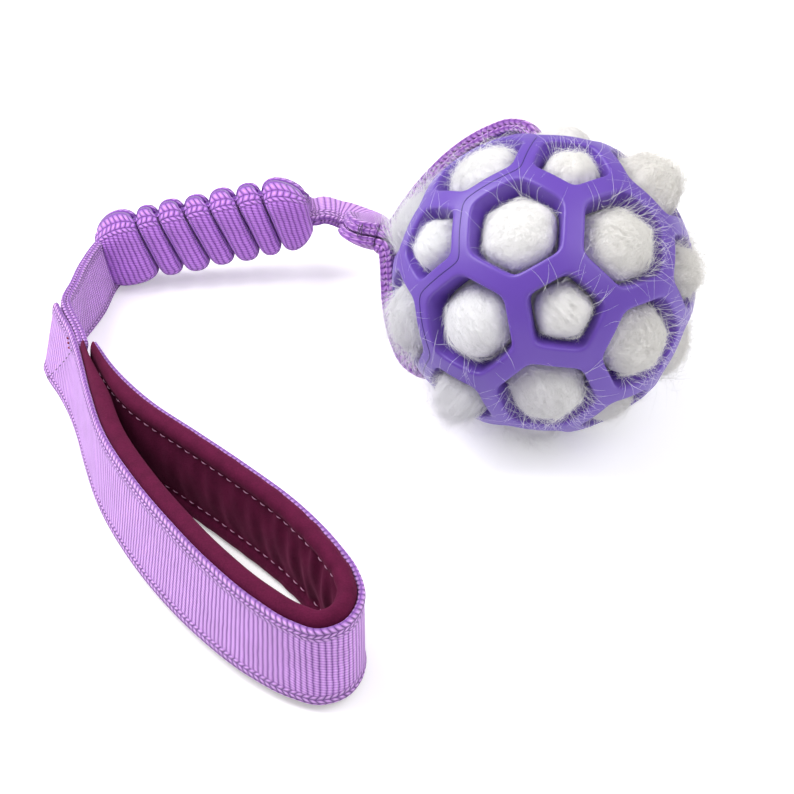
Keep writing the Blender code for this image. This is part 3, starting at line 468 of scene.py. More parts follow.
def lattice_holes():
    """Directions of the sixty junctions, and for each hole its junctions in order round it."""
    golden = (1 + math.sqrt(5)) / 2
    corners = []
    for a in (-1, 1):
        for b in (-golden, golden):
            corners += [(0, a, b), (a, b, 0), (b, 0, a)]
    corners = unit(corners)
    apart = np.linalg.norm(corners[:, None] - corners[None], axis=2)
    near = np.sort(apart.ravel())[12] * 1.01
    pairs = [(i, j) for i in range(12) for j in range(12) if i != j and apart[i, j] < near]
    junctions = unit([2 * corners[i] + corners[j] for i, j in pairs])
    holes = [[k for k, pair in enumerate(pairs) if pair[0] == i] for i in range(12)]
    for i in range(12):
        for j in range(i + 1, 12):
            for k in range(j + 1, 12):
                if apart[i, j] < near and apart[j, k] < near and apart[i, k] < near:
                    three = {i, j, k}
                    holes.append([m for m, pair in enumerate(pairs) if set(pair) <= three])
    rings = []
    for hole in holes:
        middle = unit(junctions[hole].mean(axis=0))
        first = unit(np.cross(middle, junctions[hole[0]]))
        second = np.cross(first, middle)
        angles = np.arctan2(junctions[hole] @ first, junctions[hole] @ second)
        rings.append([hole[k] for k in np.argsort(angles)])
    turn = np.array(Euler([math.radians(a) for a in BALL_TURN]).to_matrix())
    return junctions @ turn.T, rings


JUNCTIONS, HOLES = lattice_holes()
print("junctions", len(JUNCTIONS), "holes", len(HOLES))

# %% Rings round a hole


def drawn_corners(corners, angle):
    """Corners of a hole moved inwards, so that each side lies the given angle inside the old side."""
    ahead = np.roll(corners, -1, axis=0)
    normals = unit(np.cross(corners, ahead))
    normals = normals * np.sign(normals @ corners.mean(axis=0))[:, None]
    behind = np.roll(normals, 1, axis=0)
    share = 1 + np.sum(normals * behind, axis=1, keepdims=True)
    return unit(corners + (normals + behind) * math.sin(angle) / share)


def ring_round(corners, steps, rounding=0):
    """Directions round a hole, with each corner rounded by averaging a point with its neighbours."""
    t = (np.arange(steps) / steps)[None, :, None]
    ring = (corners[:, None] * (1 - t) + np.roll(corners, -1, axis=0)[:, None] * t).reshape(-1, 3)
    for _ in range(rounding):
        ring = (np.roll(ring, 1, axis=0) + 2 * ring + np.roll(ring, -1, axis=0)) / 4
    return unit(ring)


# %% The rubber skin
SIDE_STEPS = 16
RIM_STEPS = 5


def rubber_patch(corners):
    """Rings of one hole's patch: bar middle, flat, rounded rim, wall, rounded foot and bar middle."""
    border = ring_round(corners, SIDE_STEPS)
    half, wall = BAR_WIDTH / 2, BALL_WALL - 2 * RIM_ROUND
    inner = BALL_RADIUS - BALL_WALL
    rows = [(FLAT_SHARE * half, BALL_RADIUS, 3)]
    for angle in np.linspace(0, math.pi / 2, RIM_STEPS):
        inset, sink = RIM_ROUND * (1 - math.sin(angle)), RIM_ROUND * (1 - math.cos(angle))
        rows.append((half - inset, BALL_RADIUS - sink, 8))
    for share in (0.3, 0.6, 0.9):
        rows.append((half + WALL_TAPER * share, BALL_RADIUS - RIM_ROUND - wall * share, 9))
    rows.append((half - RIM_ROUND * 0.3, inner + RIM_ROUND * 0.3, 9))
    rows.append((half - RIM_ROUND, inner, 9))
    rings = [border * BALL_RADIUS]
    for amount, radius, rounding in rows:
        drawn = drawn_corners(corners, amount / BALL_RADIUS)
        rings.append(ring_round(drawn, SIDE_STEPS, rounding) * radius)
    rings.append(border * inner)
    return np.array(rings)


def rubber_mesh():
    """All patches in one mesh, with the shared rings merged."""
    points, quads, start = [], [], 0
    for hole in HOLES:
        rings = rubber_patch(JUNCTIONS[hole])
        points.append(rings.reshape(-1, 3) + BALL_CENTRE)
        quads.append(grid_faces(*rings.shape[:2]) + start)
        start += rings.shape[0] * rings.shape[1]
    return merged(fill_mesh("rubber_lattice", np.vstack(points), np.vstack(quads)))


# %% [markdown]
# The rubber is a soft satin purple. Real mouldings are never quite even: the colour drifts a little from
# place to place, the skin has a very fine grain, and the rims are polished by handling. Three noise
# textures of different size give these, read from Object coordinates.

# %% Rubber material
def rubber_material():
    """Satin purple rubber: slow colour drift, fine grain in the normal and uneven gloss."""
    material, tree, shader = new_material("satin_purple_rubber", 0.40, 0.55, 0.22)
    shader.inputs["Sheen Roughness"].default_value = 0.4
    shader.inputs["Sheen Tint"].default_value = srgb(196, 178, 255)
    place = put(tree, "TexCoord").outputs["Object"]
    drift = noise(tree, place, 38.0, 3.0)
    grain = noise(tree, place, 2600.0, 2.0)
    smear = noise(tree, place, 160.0, 4.0)
    colour = mix(tree, drift, srgb(88, 54, 158), srgb(104, 68, 176))
    tree.links.new(colour, shader.inputs["Base Color"])
    tree.links.new(calc(tree, "MULTIPLY_ADD", smear, 0.16, 0.31), shader.inputs["Roughness"])
    height = calc(tree, "ADD", calc(tree, "MULTIPLY", grain, 0.4), smear)
    add_bump(tree, shader, height, 0.18, 0.0002)
    return material


RUBBER = rubber_material()
rubber = add_piece("rubber_lattice", rubber_mesh(), RUBBER)
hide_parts("lattice_ball")
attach(rubber, "ball")
print("rubber faces", len(rubber.data.polygons))

# %% [markdown]
# The two halves of the mould leave a parting line on the rubber. It runs along the middle of the bars from
# junction to junction, as a thin lip that is darker than the skin beside it. Its junctions are found by
# their direction as the camera sees them, and the far half of the ball has the same line turned through
# the centre.

# %% Parting line
VIEW_RIGHT, VIEW_UP, VIEW_NEAR = [np.array(v) for v in (
    (0.995, -0.1003, 0.0), (0.0518, 0.5136, 0.8564), (-0.0859, -0.8521, 0.5162))]
PARTING_JUNCTIONS = ((93, 21), (102, 44), (134, 44), (164, 58), (184, 39), (212, 33), (217, 10))
PARTING_WIDTH, PARTING_HEIGHT, PARTING_STEPS = 0.00045, 0.00016, 14


def seen_direction(angle, lift):
    """World direction of an angle round the picture and a lift towards the camera, both in degrees."""
    a, b = math.radians(angle), math.radians(lift)
    return (VIEW_RIGHT * math.cos(a) + VIEW_UP * math.sin(a)) * math.cos(b) + VIEW_NEAR * math.sin(b)


def parting_mesh(name, side):
    """A low ridge: its section is half an ellipse, carried along the arcs between the junctions."""
    seen = JUNCTIONS[[np.argmax(JUNCTIONS @ seen_direction(*place)) for place in PARTING_JUNCTIONS]]
    t = (np.arange(PARTING_STEPS) / PARTING_STEPS)[None, :, None]
    way = (seen[:-1, None] * (1 - t) + seen[1:, None] * t).reshape(-1, 3)
    way = np.vstack([way, seen[-1:]])
    for _ in range(3):
        way[1:-1] = (way[:-2] + 2 * way[1:-1] + way[2:]) / 4
    way = unit(way) * side
    angle = np.linspace(0, math.pi, 7)
    height = np.sin(angle) * PARTING_HEIGHT * 2 - PARTING_HEIGHT
    profile = np.stack([height, np.cos(angle) * PARTING_WIDTH / 2], axis=1)
    return lofted_mesh(name, strip_sections(way * (BALL_RADIUS - 0.00001) + BALL_CENTRE, way, profile))


PARTING_SKIN = RUBBER.copy()
PARTING_SKIN.name = "parting_line_rubber"
for name, side in (("parting_line_near", 1), ("parting_line_far", -1)):
    ridge = add_piece(name, parting_mesh(name, side), PARTING_SKIN)
    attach(ridge, "ball")
tree = PARTING_SKIN.node_tree
shader = tree.nodes["Principled BSDF"]
tree.links.remove(shader.inputs["Base Color"].links[0])
shader.inputs["Base Color"].default_value = srgb(62, 38, 122)
print("parting line pieces: 2")

# %% [markdown]
# ## The strap round the ball
# The strap is webbing folded lengthwise, so one edge is a round fold and the other shows two braided
# edges side by side. It leaves the neck, passes over the ball's upper side, goes in at one hole, crosses
# the ball and comes back round its lower side. Its path lies in a tilted plane and is written as rows of
# angle, distance from the ball's centre and shift along the loop's axis, the last two as shares of the
# ball's radius.

# %% Path of the loop
LOOP_TILT, LOOP_TURN, LOOP_LEAN, LOOP_LEAN_TO = 31.08, -5.755, 20.0, 157.0
LOOP_PATH_SHARES = (
    (164.6, 1.2000, 0.0000), (164.6, 1.1650, 0.0000), (163.8, 1.1390, 0.0000), (160.8, 1.1180, 0.0000),
    (155.0, 1.0980, 0.0000), (147.6, 1.0850, 0.0000), (139.0, 1.0760, 0.0000), (130.0, 1.0740, 0.0067),
    (121.0, 1.0730, 0.0180), (112.0, 1.0710, 0.0315), (104.0, 1.0630, 0.0449), (98.3, 1.0180, 0.0562),
    (94.8, 0.8989, 0.0607), (94.0, 0.7640, 0.0539), (97.0, 0.6067, 0.0404), (108.0, 0.4607, 0.0270),
    (128.0, 0.3371, 0.0180), (157.5, 0.2809, 0.0067), (187.0, 0.3371, -0.0045),
    (207.0, 0.4607, -0.0135), (218.0, 0.6067, -0.0225), (221.5, 0.7640, -0.0292),
    (221.0, 0.8989, -0.0315), (218.0, 1.0070, -0.0270), (211.8, 1.0600, -0.0202),
    (205.0, 1.0680, -0.0135), (197.0, 1.0680, -0.0067), (189.0, 1.0690, 0.0000),
    (181.6, 1.0770, 0.0000), (176.2, 1.0930, 0.0000), (172.4, 1.1150, 0.0000), (170.1, 1.1400, 0.0000),
    (169.6, 1.1680, 0.0000), (169.6, 1.2000, 0.0000),
)


def loop_directions():
    """The loop's axis, and the two directions in its plane that a row's angle turns between."""
    tilt, turn = math.radians(LOOP_TILT), math.radians(LOOP_TURN)
    level = math.cos(tilt)
    facing = np.array([math.sin(turn) * level, -math.cos(turn) * level, math.sin(tilt)])
    right = unit(np.cross([0.0, 0.0, 1.0], facing))
    up = np.cross(facing, right)
    lean, to = math.radians(LOOP_LEAN), math.radians(LOOP_LEAN_TO)
    out = right * math.cos(to) + up * math.sin(to)
    side = -right * math.sin(to) + up * math.cos(to)
    axis = facing * math.cos(lean) + out * math.sin(lean)
    return axis, out * math.cos(lean) - facing * math.sin(lean), side


LOOP_AXIS, LOOP_AWAY, LOOP_SIDE = loop_directions()


def loop_path(count):
    """Middle line of the strap: centre + distance * (away * cos + side * sin) + axis * shift."""
    rows = np.array(LOOP_PATH_SHARES) * [1.0, BALL_RADIUS, BALL_RADIUS]
    turn = np.radians(rows[:, 0] - LOOP_LEAN_TO)[:, None]
    points = BALL_CENTRE + rows[:, 1:2] * (LOOP_AWAY * np.cos(turn) + LOOP_SIDE * np.sin(turn))
    return smooth_rows(points + LOOP_AXIS * rows[:, 2:], count)


# %% Section of folded webbing
FOLDED_WIDTH = WEBBING_WIDTH / 2
LOOP_THICK, NECK_THICK, END_THICK = 0.0040, 0.0038, 0.0028


def folded_section(width, thickness, groove=0.0009, puff=0.0004):
    """Section of folded webbing, and the place across the cloth of each of its points.

    One edge is a half circle, the fold. The other is two half circles side by side, the woven edges.
    The two faces swell a little in between. Place across the cloth counts from the fold.
    """
    half, side = width / 2, thickness / 2
    fold = np.linspace(-math.pi / 2, -3 * math.pi / 2, 9)
    fold = np.stack([-half + side + side * np.cos(fold), side * np.sin(fold)], axis=1)
    across = np.linspace(-half + side, half - side / 2, 15)[1:-1]
    swell = side + puff * np.sin(np.linspace(0, math.pi, 15))[1:-1]
    small = side / 2
    near = np.linspace(math.pi / 2, -math.pi * 0.42, 7)
    lip = np.stack([half - small + small * np.cos(near), small + small * np.sin(near)], axis=1)
    mirror = lip[::-1] * [1, -1]
    notch = np.array([[half - groove, 0.0]])
    top = np.stack([across, swell], axis=1)
    bottom = np.stack([across[::-1], -swell], axis=1)
    rows = np.vstack([fold, top, lip, notch, mirror, bottom])
    place = np.clip(rows[:, 0] + half, 0, width)
    return rows, place


# %% [markdown]
# The braided edges stand a little prouder than the ribbed face between them, because their yarns cross
# over each other. The bump in the weave group shows the yarns, and the section's own swell gives each
# edge its roundness, so the light runs along it as it does on the real strap.

# %% Loop strap
def add_folded(name, path, edges, thickness, offset=0.0, lift=0.0):
    """A folded strap along a path, lifted off it if asked, its woven edges towards the edge directions."""
    rows, place = folded_section(FOLDED_WIDTH, thickness)
    sections = strip_sections(path, edges, rows + [0.0, lift])
    mesh = lofted_mesh(name, sections, weave_rows(path, place, offset))
    return add_piece(name, mesh, LILAC)


path = loop_path(420)
loop_strap = add_folded("loop_strap", path, np.repeat(LOOP_AXIS[None], len(path), axis=0), LOOP_THICK)
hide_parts("ball_strap")
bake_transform(loop_strap)
print("loop strap length", round(float(run_lengths(path)[-1]), 4))

# %% [markdown]
# ## The bungee
# The bungee is two layers of webbing sewn edge to edge over a flat elastic and gathered to about half
# their length. Each layer stands out in rounded upright pleats, with deep grooves between them. In plan a
# layer is a line that swings out for each pleat and back in for each groove. Up the height the swing
# fades towards the two sewn edges, where the two layers meet.

# %% Frame and gathered line
BUNGEE_START = np.array([-0.1008, 0.0680, 0.0130]) + MOVED
turn, rise = math.radians(8.0), math.radians(9.0)
level = math.cos(rise)
BUNGEE_ALONG = np.array([math.cos(turn) * level, math.sin(turn) * level, math.sin(rise)])
BUNGEE_FRONT = np.array([math.sin(turn), -math.cos(turn), 0.0])
BUNGEE_UP = np.cross(BUNGEE_FRONT, BUNGEE_ALONG)
BUNGEE_UP = BUNGEE_UP * np.sign(BUNGEE_UP[2])
PLEATS = [0.0162, 0.0080, 0.0091, 0.0086, 0.0090, 0.0082, 0.0134]
PLEAT_SHARES = (1.00, 0.95, 1.01, 0.97, 1.03, 1.00, 1.04)
PLEAT_VALLEY = 0.0011
PLEAT_DEPTH, END_PLEAT_DEPTH = 0.0060, 0.0068
GROOVE_HEIGHT, CREST_RISE = 0.80, 0.30
SLEEVE_BASE, SLEEVE_MEET, SLEEVE_THICK = 0.0021, 0.00060, 0.0016
SLEEVE_LEAN = 0.0056
FRONT_TOP, BACK_TOP, RIGHT_END, BACK_HEIGHT = 0.74, 0.68, 0.50, 0.965
bungee_length = sum(PLEATS)


def pleat_line(fine=22):
    """Places along the bungee, distance out from its middle plane, and a height share, high on a crest.

    A pleat is a flattened half circle: place = middle + reach * cos^0.85, out = depth - crown + crown *
    sin. A groove is a quarter-depth dip between two pleats. The height share is 0.80 in a groove and
    rises by 0.30 times the pleat's own share to its crest.
    """
    rows, start = [np.array([[0.0, SLEEVE_BASE, GROOVE_HEIGHT]])], 0.0
    for number, pitch in enumerate(PLEATS):
        depth = (PLEAT_DEPTH if 0 < number < len(PLEATS) - 1 else END_PLEAT_DEPTH) * PLEAT_SHARES[number]
        reach = pitch / 2 - PLEAT_VALLEY
        crown = min(reach, depth / 2)
        angle = np.linspace(0, math.pi, fine)
        across = -np.cos(angle)
        edge = np.sign(across) * np.abs(across) ** 0.85
        swing = SLEEVE_BASE + depth - crown + crown * np.sin(angle)
        height = GROOVE_HEIGHT + CREST_RISE * PLEAT_SHARES[number] ** 2 * np.sin(angle) ** 0.8
        rows.append(np.stack([start + pitch / 2 + reach * edge, swing, height], axis=1))
        if number < len(PLEATS) - 1:
            angle = (np.arange(4) + 0.5) / 4 * math.pi
            place = start + pitch - PLEAT_VALLEY * np.cos(angle)
            out = SLEEVE_BASE + PLEAT_VALLEY * (1 - np.sin(angle))
            rows.append(np.stack([place, out, np.full(len(angle), GROOVE_HEIGHT)], axis=1))
        start += pitch
    rows.append(np.array([[start, SLEEVE_BASE, GROOVE_HEIGHT]]))
    return np.vstack(rows)


line = pleat_line()
cloth = run_lengths(line[:, :2])
print("gathered length", round(bungee_length, 4), "cloth length", round(float(cloth[-1]), 4))


# %% One gathered layer
END_RUN = 0.0120


def end_share(place, share):
    """Height share: the given share at the very end, rising to one over twelve millimetres."""
    return 1 - (1 - share) * (1 - np.clip(place / END_RUN, 0, 1)) ** 2


def sleeve_sections(side, top, tall, columns=27):
    """Sections along the gathered line, each a loop up the outer face and down the inner face.

    Up the height, the swing out is the line's swing times 0.04 + 0.96 * (1 - |2 * up|^5). The points lie
    closer together towards the sewn edges, where the layer draws in to meet the other one.
    """
    up = np.sin(np.linspace(-math.pi / 2, math.pi / 2, columns)) * 0.5
    share = 0.04 + 0.96 * (1 - np.abs(2 * up) ** 5.0)
    weight = np.clip((np.abs(up) - 0.40) / 0.10, 0, 1)
    foot = SLEEVE_BASE * (1 - weight) + SLEEVE_MEET * weight
    place = line[:, 0]
    out = foot[None] + (line[:, 1:2] - SLEEVE_BASE) * share[None]
    flat = np.stack([np.repeat(place[:, None], columns, axis=1), out], axis=-1)
    way = unit(np.gradient(flat, axis=0))
    normal = np.stack([-way[..., 1], way[..., 0]], axis=-1) * SLEEVE_THICK / 2
    middle = np.sin(math.pi * place / bungee_length)[:, None, None]
    lean = -SLEEVE_LEAN * up[None, :, None] * middle ** 0.7
    left = np.where(up[None] < 0, 1.0, end_share(place[:, None], top))
    right = end_share(bungee_length - place[:, None], RIGHT_END)
    height = WEBBING_WIDTH * up[None] * left * right * line[:, 2:3] * tall
    faces = []
    for sign in (1, -1):
        flat_place = flat + normal * sign
        faces.append(BUNGEE_START + BUNGEE_ALONG * (flat_place[..., :1] + lean)
                     + BUNGEE_FRONT * side * flat_place[..., 1:] + BUNGEE_UP * height[..., None])
    weave = np.zeros((len(line), columns, 3))
    weave[..., 0], weave[..., 1] = cloth[:, None], WEBBING_WIDTH * up
    return [np.concatenate([first, second[:, ::-1]], axis=1) for first, second in (faces, (weave, weave))]


for name, node, side, top, tall in (("bungee_front", "sleeve_front", 1, FRONT_TOP, 1.0),
                                    ("bungee_back", "sleeve_back", -1, BACK_TOP, BACK_HEIGHT)):
    sections, weave = sleeve_sections(side, top, tall)
    layer = add_piece(name, lofted_mesh(name, sections, weave), PLEAT_SHADED_WEBBING)
    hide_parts(node)
    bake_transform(layer)
    print(name, "faces", len(layer.data.polygons))

# %% [markdown]
# ## Neck strap
# Between the bungee and the ball the strap is folded like the loop. It comes out of the top of the
# bungee's last pleat, drops and lies flat, with its woven edges towards the camera. It swings out behind
# the ball before it turns to the loop. The strap's end is sewn back under it with dark thread.

# %% Neck path
NECK_CLEAR = 0.0014
NECK_LIFT = -0.0016
NECK_LEAD = 0.0030
NECK_BACK = 0.0050
NECK_INSIDE = 0.0095
NECK_WAY_SHARES = (0.01, 0.08, 0.20, 0.37, 0.54, 0.72)
NECK_SWINGS = (
    (0.0062, 0.0008, -0.0021), (0.0110, 0.0017, -0.0038), (0.0125, 0.0017, -0.0047),
    (0.0101, 0.0019, -0.0039), (0.0064, 0.0016, -0.0018), (0.0031, 0.0014, 0.0008),
)
NECK_EDGE_FIRST = (0.05, -0.99, 0.12)
NECK_EDGES = (
    (-0.12, -0.99, 0.08), (-0.45, -0.89, 0.05), (-0.80, -0.60, 0.02), (-0.97, -0.25, 0.02),
    (-1.00, -0.15, 0.10), (-0.88, -0.40, 0.28),
)


def neck_path(count, inside=0.0):
    """The neck's middle line and its edge directions, from the bungee's end to the loop's start.

    A middle point is the mix of the two ends by its share of the way, plus its swing. With a length
    inside, the strap also reaches that far back and up into the top of the bungee's last pleat.
    """
    first = BUNGEE_START + BUNGEE_ALONG * (bungee_length + NECK_CLEAR) + BUNGEE_UP * NECK_LIFT
    loop = loop_path(84)
    away = unit(loop[0] - loop[1])
    last = loop[0] + away * 0.0006
    lead, near = first + BUNGEE_ALONG * NECK_LEAD, last + away * NECK_BACK
    share = np.array(NECK_WAY_SHARES)[:, None]
    between = lead * (1 - share) + near * share + np.array(NECK_SWINGS)
    rows = np.vstack([first, lead, between, near, (near + last) / 2, last])
    edges = np.vstack([NECK_EDGE_FIRST, NECK_EDGE_FIRST, NECK_EDGES, LOOP_AXIS, LOOP_AXIS, LOOP_AXIS])
    if inside:
        edges[:3] = (0.05, -0.98, -0.15)
        back = first - BUNGEE_ALONG * inside
        half_way = (first + back) / 2 + BUNGEE_UP * inside * 0.45
        rows = np.vstack([back + BUNGEE_UP * inside * 0.75, half_way, rows])
        edges = np.vstack([edges[0], edges[0], edges])
    both = smooth_rows(np.hstack([rows, unit(edges)]), count)
    return both[:, :3], unit(both[:, 3:])


def part_of(path, edges, low, high, count):
    """The stretch of a path between two lengths; a negative length counts from its far end."""
    both = np.hstack([path, edges])
    run = run_lengths(path)
    low, high = [place if place >= 0 else run[-1] + place for place in (low, high)]
    rows = read_rows(np.linspace(low, high, count), run, both)
    return rows[:, :3], unit(rows[:, 3:])


neck_line, neck_edges = neck_path(240)
shown_line, shown_edges = neck_path(260, NECK_INSIDE)
neck_strap = add_folded("neck_webbing", shown_line, shown_edges, NECK_THICK, offset=0.05)
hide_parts("neck_strap")
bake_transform(neck_strap)

# %% Sewn-back end of the strap
through = np.cross(tangents(neck_line)[-1], neck_edges[-1])
under = 1 if (loop_path(84)[-1] - neck_line[-1]) @ through > 0 else -1
END_LIFT = 0.0039
end_line, end_edges = part_of(neck_line, neck_edges, -0.0116, -0.0004, 40)
end_strap = add_folded("neck_end_webbing", end_line, end_edges, END_THICK, 0.011, under * END_LIFT)
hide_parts("neck_strap_end")
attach(end_strap, "neck")
print("neck length", round(float(run_lengths(neck_line)[-1]), 4))

# %% [markdown]
# ## Handle
# The handle is one length of webbing bent into a long loop and sewn to itself, lined with burgundy
# fleece over a thin pad. The lining stands above and below the webbing as a soft roll, and two rows of
# pale stitches hold it. The webbing's route is written in plan, with the amount that its lower edge
# leans out, because the near side leans and the far side stands upright.

# %% Handle route
HANDLE_ROWS = (
    (-0.1090, 0.0116, 0.0062), (-0.1070, 0.0066, 0.0062), (-0.1026, -0.0020, 0.0056),
    (-0.0988, -0.0110, 0.0046), (-0.0950, -0.0220, 0.0036), (-0.0908, -0.0360, 0.0032),
    (-0.0835, -0.0570, 0.0032), (-0.0722, -0.0790, 0.0040), (-0.0612, -0.0962, 0.0042),
    (-0.0492, -0.1120, 0.0034), (-0.0360, -0.1258, 0.0020), (-0.0262, -0.1330, 0.0006),
    (-0.0190, -0.1356, 0.0000), (-0.0125, -0.1330, 0.0000), (-0.0088, -0.1268, 0.0000),
    (-0.0080, -0.1200, 0.0000), (-0.0096, -0.1128, 0.0000), (-0.0146, -0.1025, 0.0000),
    (-0.0256, -0.0860, 0.0000), (-0.0399, -0.0700, 0.0000), (-0.0549, -0.0547, 0.0000),
    (-0.0700, -0.0400, -0.0008), (-0.0836, -0.0230, -0.0026), (-0.0918, -0.0100, -0.0048),
)
HANDLE_THICK, TAIL_THICK = 0.0015, 0.0013
LINING_FIRST, LINING_LAST, LINING_HEIGHT = 0.0270, 0.0030, 0.0290
LINING_OUT, LINING_DEPTH = 0.0018, 0.0050
ROLL_HEIGHT, ROW_INSET = 0.0048, 0.0008
rows = smooth_rows([(x, y, 0.0, lean) for x, y, lean in HANDLE_ROWS], 400)
HANDLE_PLACE, HANDLE_LEAN = rows[:, :3] + MOVED, rows[:, 3]
HANDLE_RUN = run_lengths(HANDLE_PLACE)
handle_length = float(HANDLE_RUN[-1])
print("handle webbing length", round(handle_length, 4))


# %% Frames along the handle
LINING_END, LINING_RUN = 0.28, 0.0320


def lining_share(lengths):
    """Thickness share of the lining: 0.28 at its two ends, rising smoothly to one over 32 mm."""
    ends = np.minimum(lengths - LINING_FIRST, handle_length - LINING_LAST - lengths)
    rise = np.clip(ends / LINING_RUN, 0, 1)
    return LINING_END + (1 - LINING_END) * rise * rise * (3 - 2 * rise)


def handle_frames(lengths):
    """Middle of the outer face, direction up the webbing and direction inwards, at given lengths."""
    along = tangents(HANDLE_PLACE)
    outward = np.stack([along[:, 1], -along[:, 0], np.zeros(len(along))], axis=1)
    rise = np.sqrt(WEBBING_WIDTH ** 2 - HANDLE_LEAN ** 2)
    up = unit(-outward * HANDLE_LEAN[:, None] + np.array([0.0, 0.0, 1.0]) * rise[:, None])
    inward = unit(np.cross(up, along))
    inward = inward * -np.sign(np.sum(inward * outward, axis=1, keepdims=True))
    depth = LINING_OUT + LINING_DEPTH * lining_share(HANDLE_RUN)
    height = LINING_HEIGHT / 2 * up[:, 2] - depth * np.minimum(inward[:, 2], 0)
    middle = HANDLE_PLACE + np.array([0.0, 0.0, 1.0]) * height[:, None]
    middle, up, inward = [read_rows(lengths, HANDLE_RUN, rows) for rows in (middle, up, inward)]
    return middle, unit(up), unit(inward)


def handle_body(name, lengths, profile, material, weave=None):
    """A body along the handle: profile rows hold height and depth for each length."""
    middle, up, inward = handle_frames(lengths)
    profile = np.asarray(profile)
    sections = middle[:, None] + up[:, None] * profile[..., :1] + inward[:, None] * profile[..., 1:2]
    return add_piece(name, lofted_mesh(name, sections, weave), material)


# %% Outer webbing of the handle
BEAD_MIDDLE = 0.0017


def flat_section(width, thickness, bead=0.0003):
    """Section of flat webbing: two faces and two rounded edges, the braided edges slightly prouder."""
    half, side = width / 2, thickness / 2
    across = np.linspace(-half + side, half - side, 26)
    from_edge = half - np.abs(across)
    proud = side + bead * np.clip(1 - np.abs(from_edge - BEAD_MIDDLE) / BEAD_MIDDLE, 0, 1)
    arc = np.linspace(-math.pi / 2, math.pi / 2, 7)[1:-1]
    right = np.stack([half - side + side * np.cos(arc), side * np.sin(arc)], axis=1)
    left = np.stack([-half + side - side * np.cos(arc), -side * np.sin(arc)], axis=1)
    front = np.stack([across, -proud], axis=1)
    back = np.stack([across[::-1], proud], axis=1)
    rows = np.vstack([front, right, back, left])
    return rows, rows[:, 0].copy()


rows, place = flat_section(WEBBING_WIDTH, HANDLE_THICK)
lengths = np.linspace(0, handle_length, 460)
weave = weave_rows(np.stack([lengths, 0 * lengths, 0 * lengths], axis=1), place)
profile = rows + [0.0, HANDLE_THICK / 2]
handle_band = handle_body("handle_band", lengths, profile, LILAC, weave)
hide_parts("handle_webbing")
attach(handle_band, "handle")


# %% [markdown]
# The lining is soft fleece. Its rolls are nearly round, the stitched channels pull it in, and the middle
# puffs up again. Near the nose of the loop it gathers into a few soft upright wrinkles, because the inner
# face of a bend is shorter than the outer face. The wrinkles are small waves added to the depth.

# %% Lining section
PUFF_LOW, PUFF_RISE, PUFF_SPAN = 0.0036, 0.0011, 0.0079
WRINKLE, ROLL_WRINKLE = 0.00042, 0.00012
WRINKLE_WAVES = ((0.0092, 130.0, 0.0, 1.0), (0.0061, -210.0, 1.3, 0.6))


def lining_sections(lengths):
    """Profile rows for every length: rolled lower edge, channel, puffed middle, channel, rolled edge.

    The wrinkles are a sum of share * sin(2 pi * length / pitch + slant * height + phase), and they are
    strong near the nose and in one place of the far side, by exp(-(distance / reach)^2).
    """
    half = LINING_HEIGHT / 2
    roll = np.radians(np.linspace(-180, 62, 19))
    low = -half + ROLL_HEIGHT / 2
    share = lining_share(lengths)[:, None]
    lower_height = low + ROLL_HEIGHT / 2 * np.sin(roll)
    lower_depth = LINING_DEPTH / 2 * (1 + np.cos(roll))
    row = half - ROLL_HEIGHT - ROW_INSET
    middle = np.linspace(-row, row, 19)
    from_row = half - ROLL_HEIGHT - 2 * ROW_INSET - np.abs(middle)
    puff = PUFF_LOW + PUFF_RISE * np.sin(np.clip(from_row / PUFF_SPAN, 0, 1) * math.pi / 2)
    heights = np.concatenate([lower_height, middle, -lower_height[::-1]])
    depths = np.concatenate([lower_depth, puff, lower_depth[::-1]])
    nose_place = HANDLE_RUN[np.argmin(HANDLE_PLACE[:, 1])]
    strong = np.exp(-((lengths - nose_place - 0.038) / 0.026) ** 2)[:, None]
    strong = strong + 0.35 * np.exp(-((lengths - handle_length + 0.07) / 0.03) ** 2)[:, None]
    inner = (np.abs(heights) < half - ROLL_HEIGHT - 0.0005)[None]
    wave = sum(part * np.sin(lengths[:, None] * 2 * math.pi / pitch + heights[None] * slant + phase)
               for pitch, slant, phase, part in WRINKLE_WAVES)
    depths = depths[None] * share + np.where(inner, WRINKLE, ROLL_WRINKLE) * wave * strong * share
    heights = np.repeat(heights[None], len(lengths), axis=0)
    inner_face = np.stack([heights, depths + LINING_OUT], axis=-1)
    back_heights = np.broadcast_to(np.linspace(-low, low, 21)[1:-1], (len(lengths), 19))
    back = np.stack([back_heights, np.full_like(back_heights, LINING_OUT)], axis=-1)
    return np.concatenate([inner_face, back], axis=1)


# %% Burgundy fleece material
def fleece_material():
    """Burgundy fleece: soft short nap from two noises, and light that catches the nap at a low angle."""
    material, tree, shader = new_material("burgundy_fleece", 0.88, 0.12, 0.35)
    shader.inputs["Sheen Roughness"].default_value = 0.45
    shader.inputs["Sheen Tint"].default_value = srgb(150, 66, 104)
    place = put(tree, "TexCoord").outputs["Object"]
    nap = noise(tree, place, 1900.0, 3.0, Roughness=0.7)
    felt = noise(tree, place, 240.0, 4.0)
    share = calc(tree, "MULTIPLY_ADD", nap, 0.7, calc(tree, "MULTIPLY_ADD", felt, 0.6, -0.15))
    tree.links.new(mix(tree, share, srgb(56, 7, 34), srgb(106, 24, 64)), shader.inputs["Base Color"])
    add_bump(tree, shader, calc(tree, "ADD", nap, felt), 0.5, 0.0003)
    return material


FLEECE = fleece_material()
lengths = np.linspace(LINING_FIRST, handle_length - LINING_LAST, 420)
handle_pad = handle_body("handle_pad", lengths, lining_sections(lengths), FLEECE)
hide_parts("handle_lining")
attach(handle_pad, "handle")
print("pad faces", len(handle_pad.data.polygons))

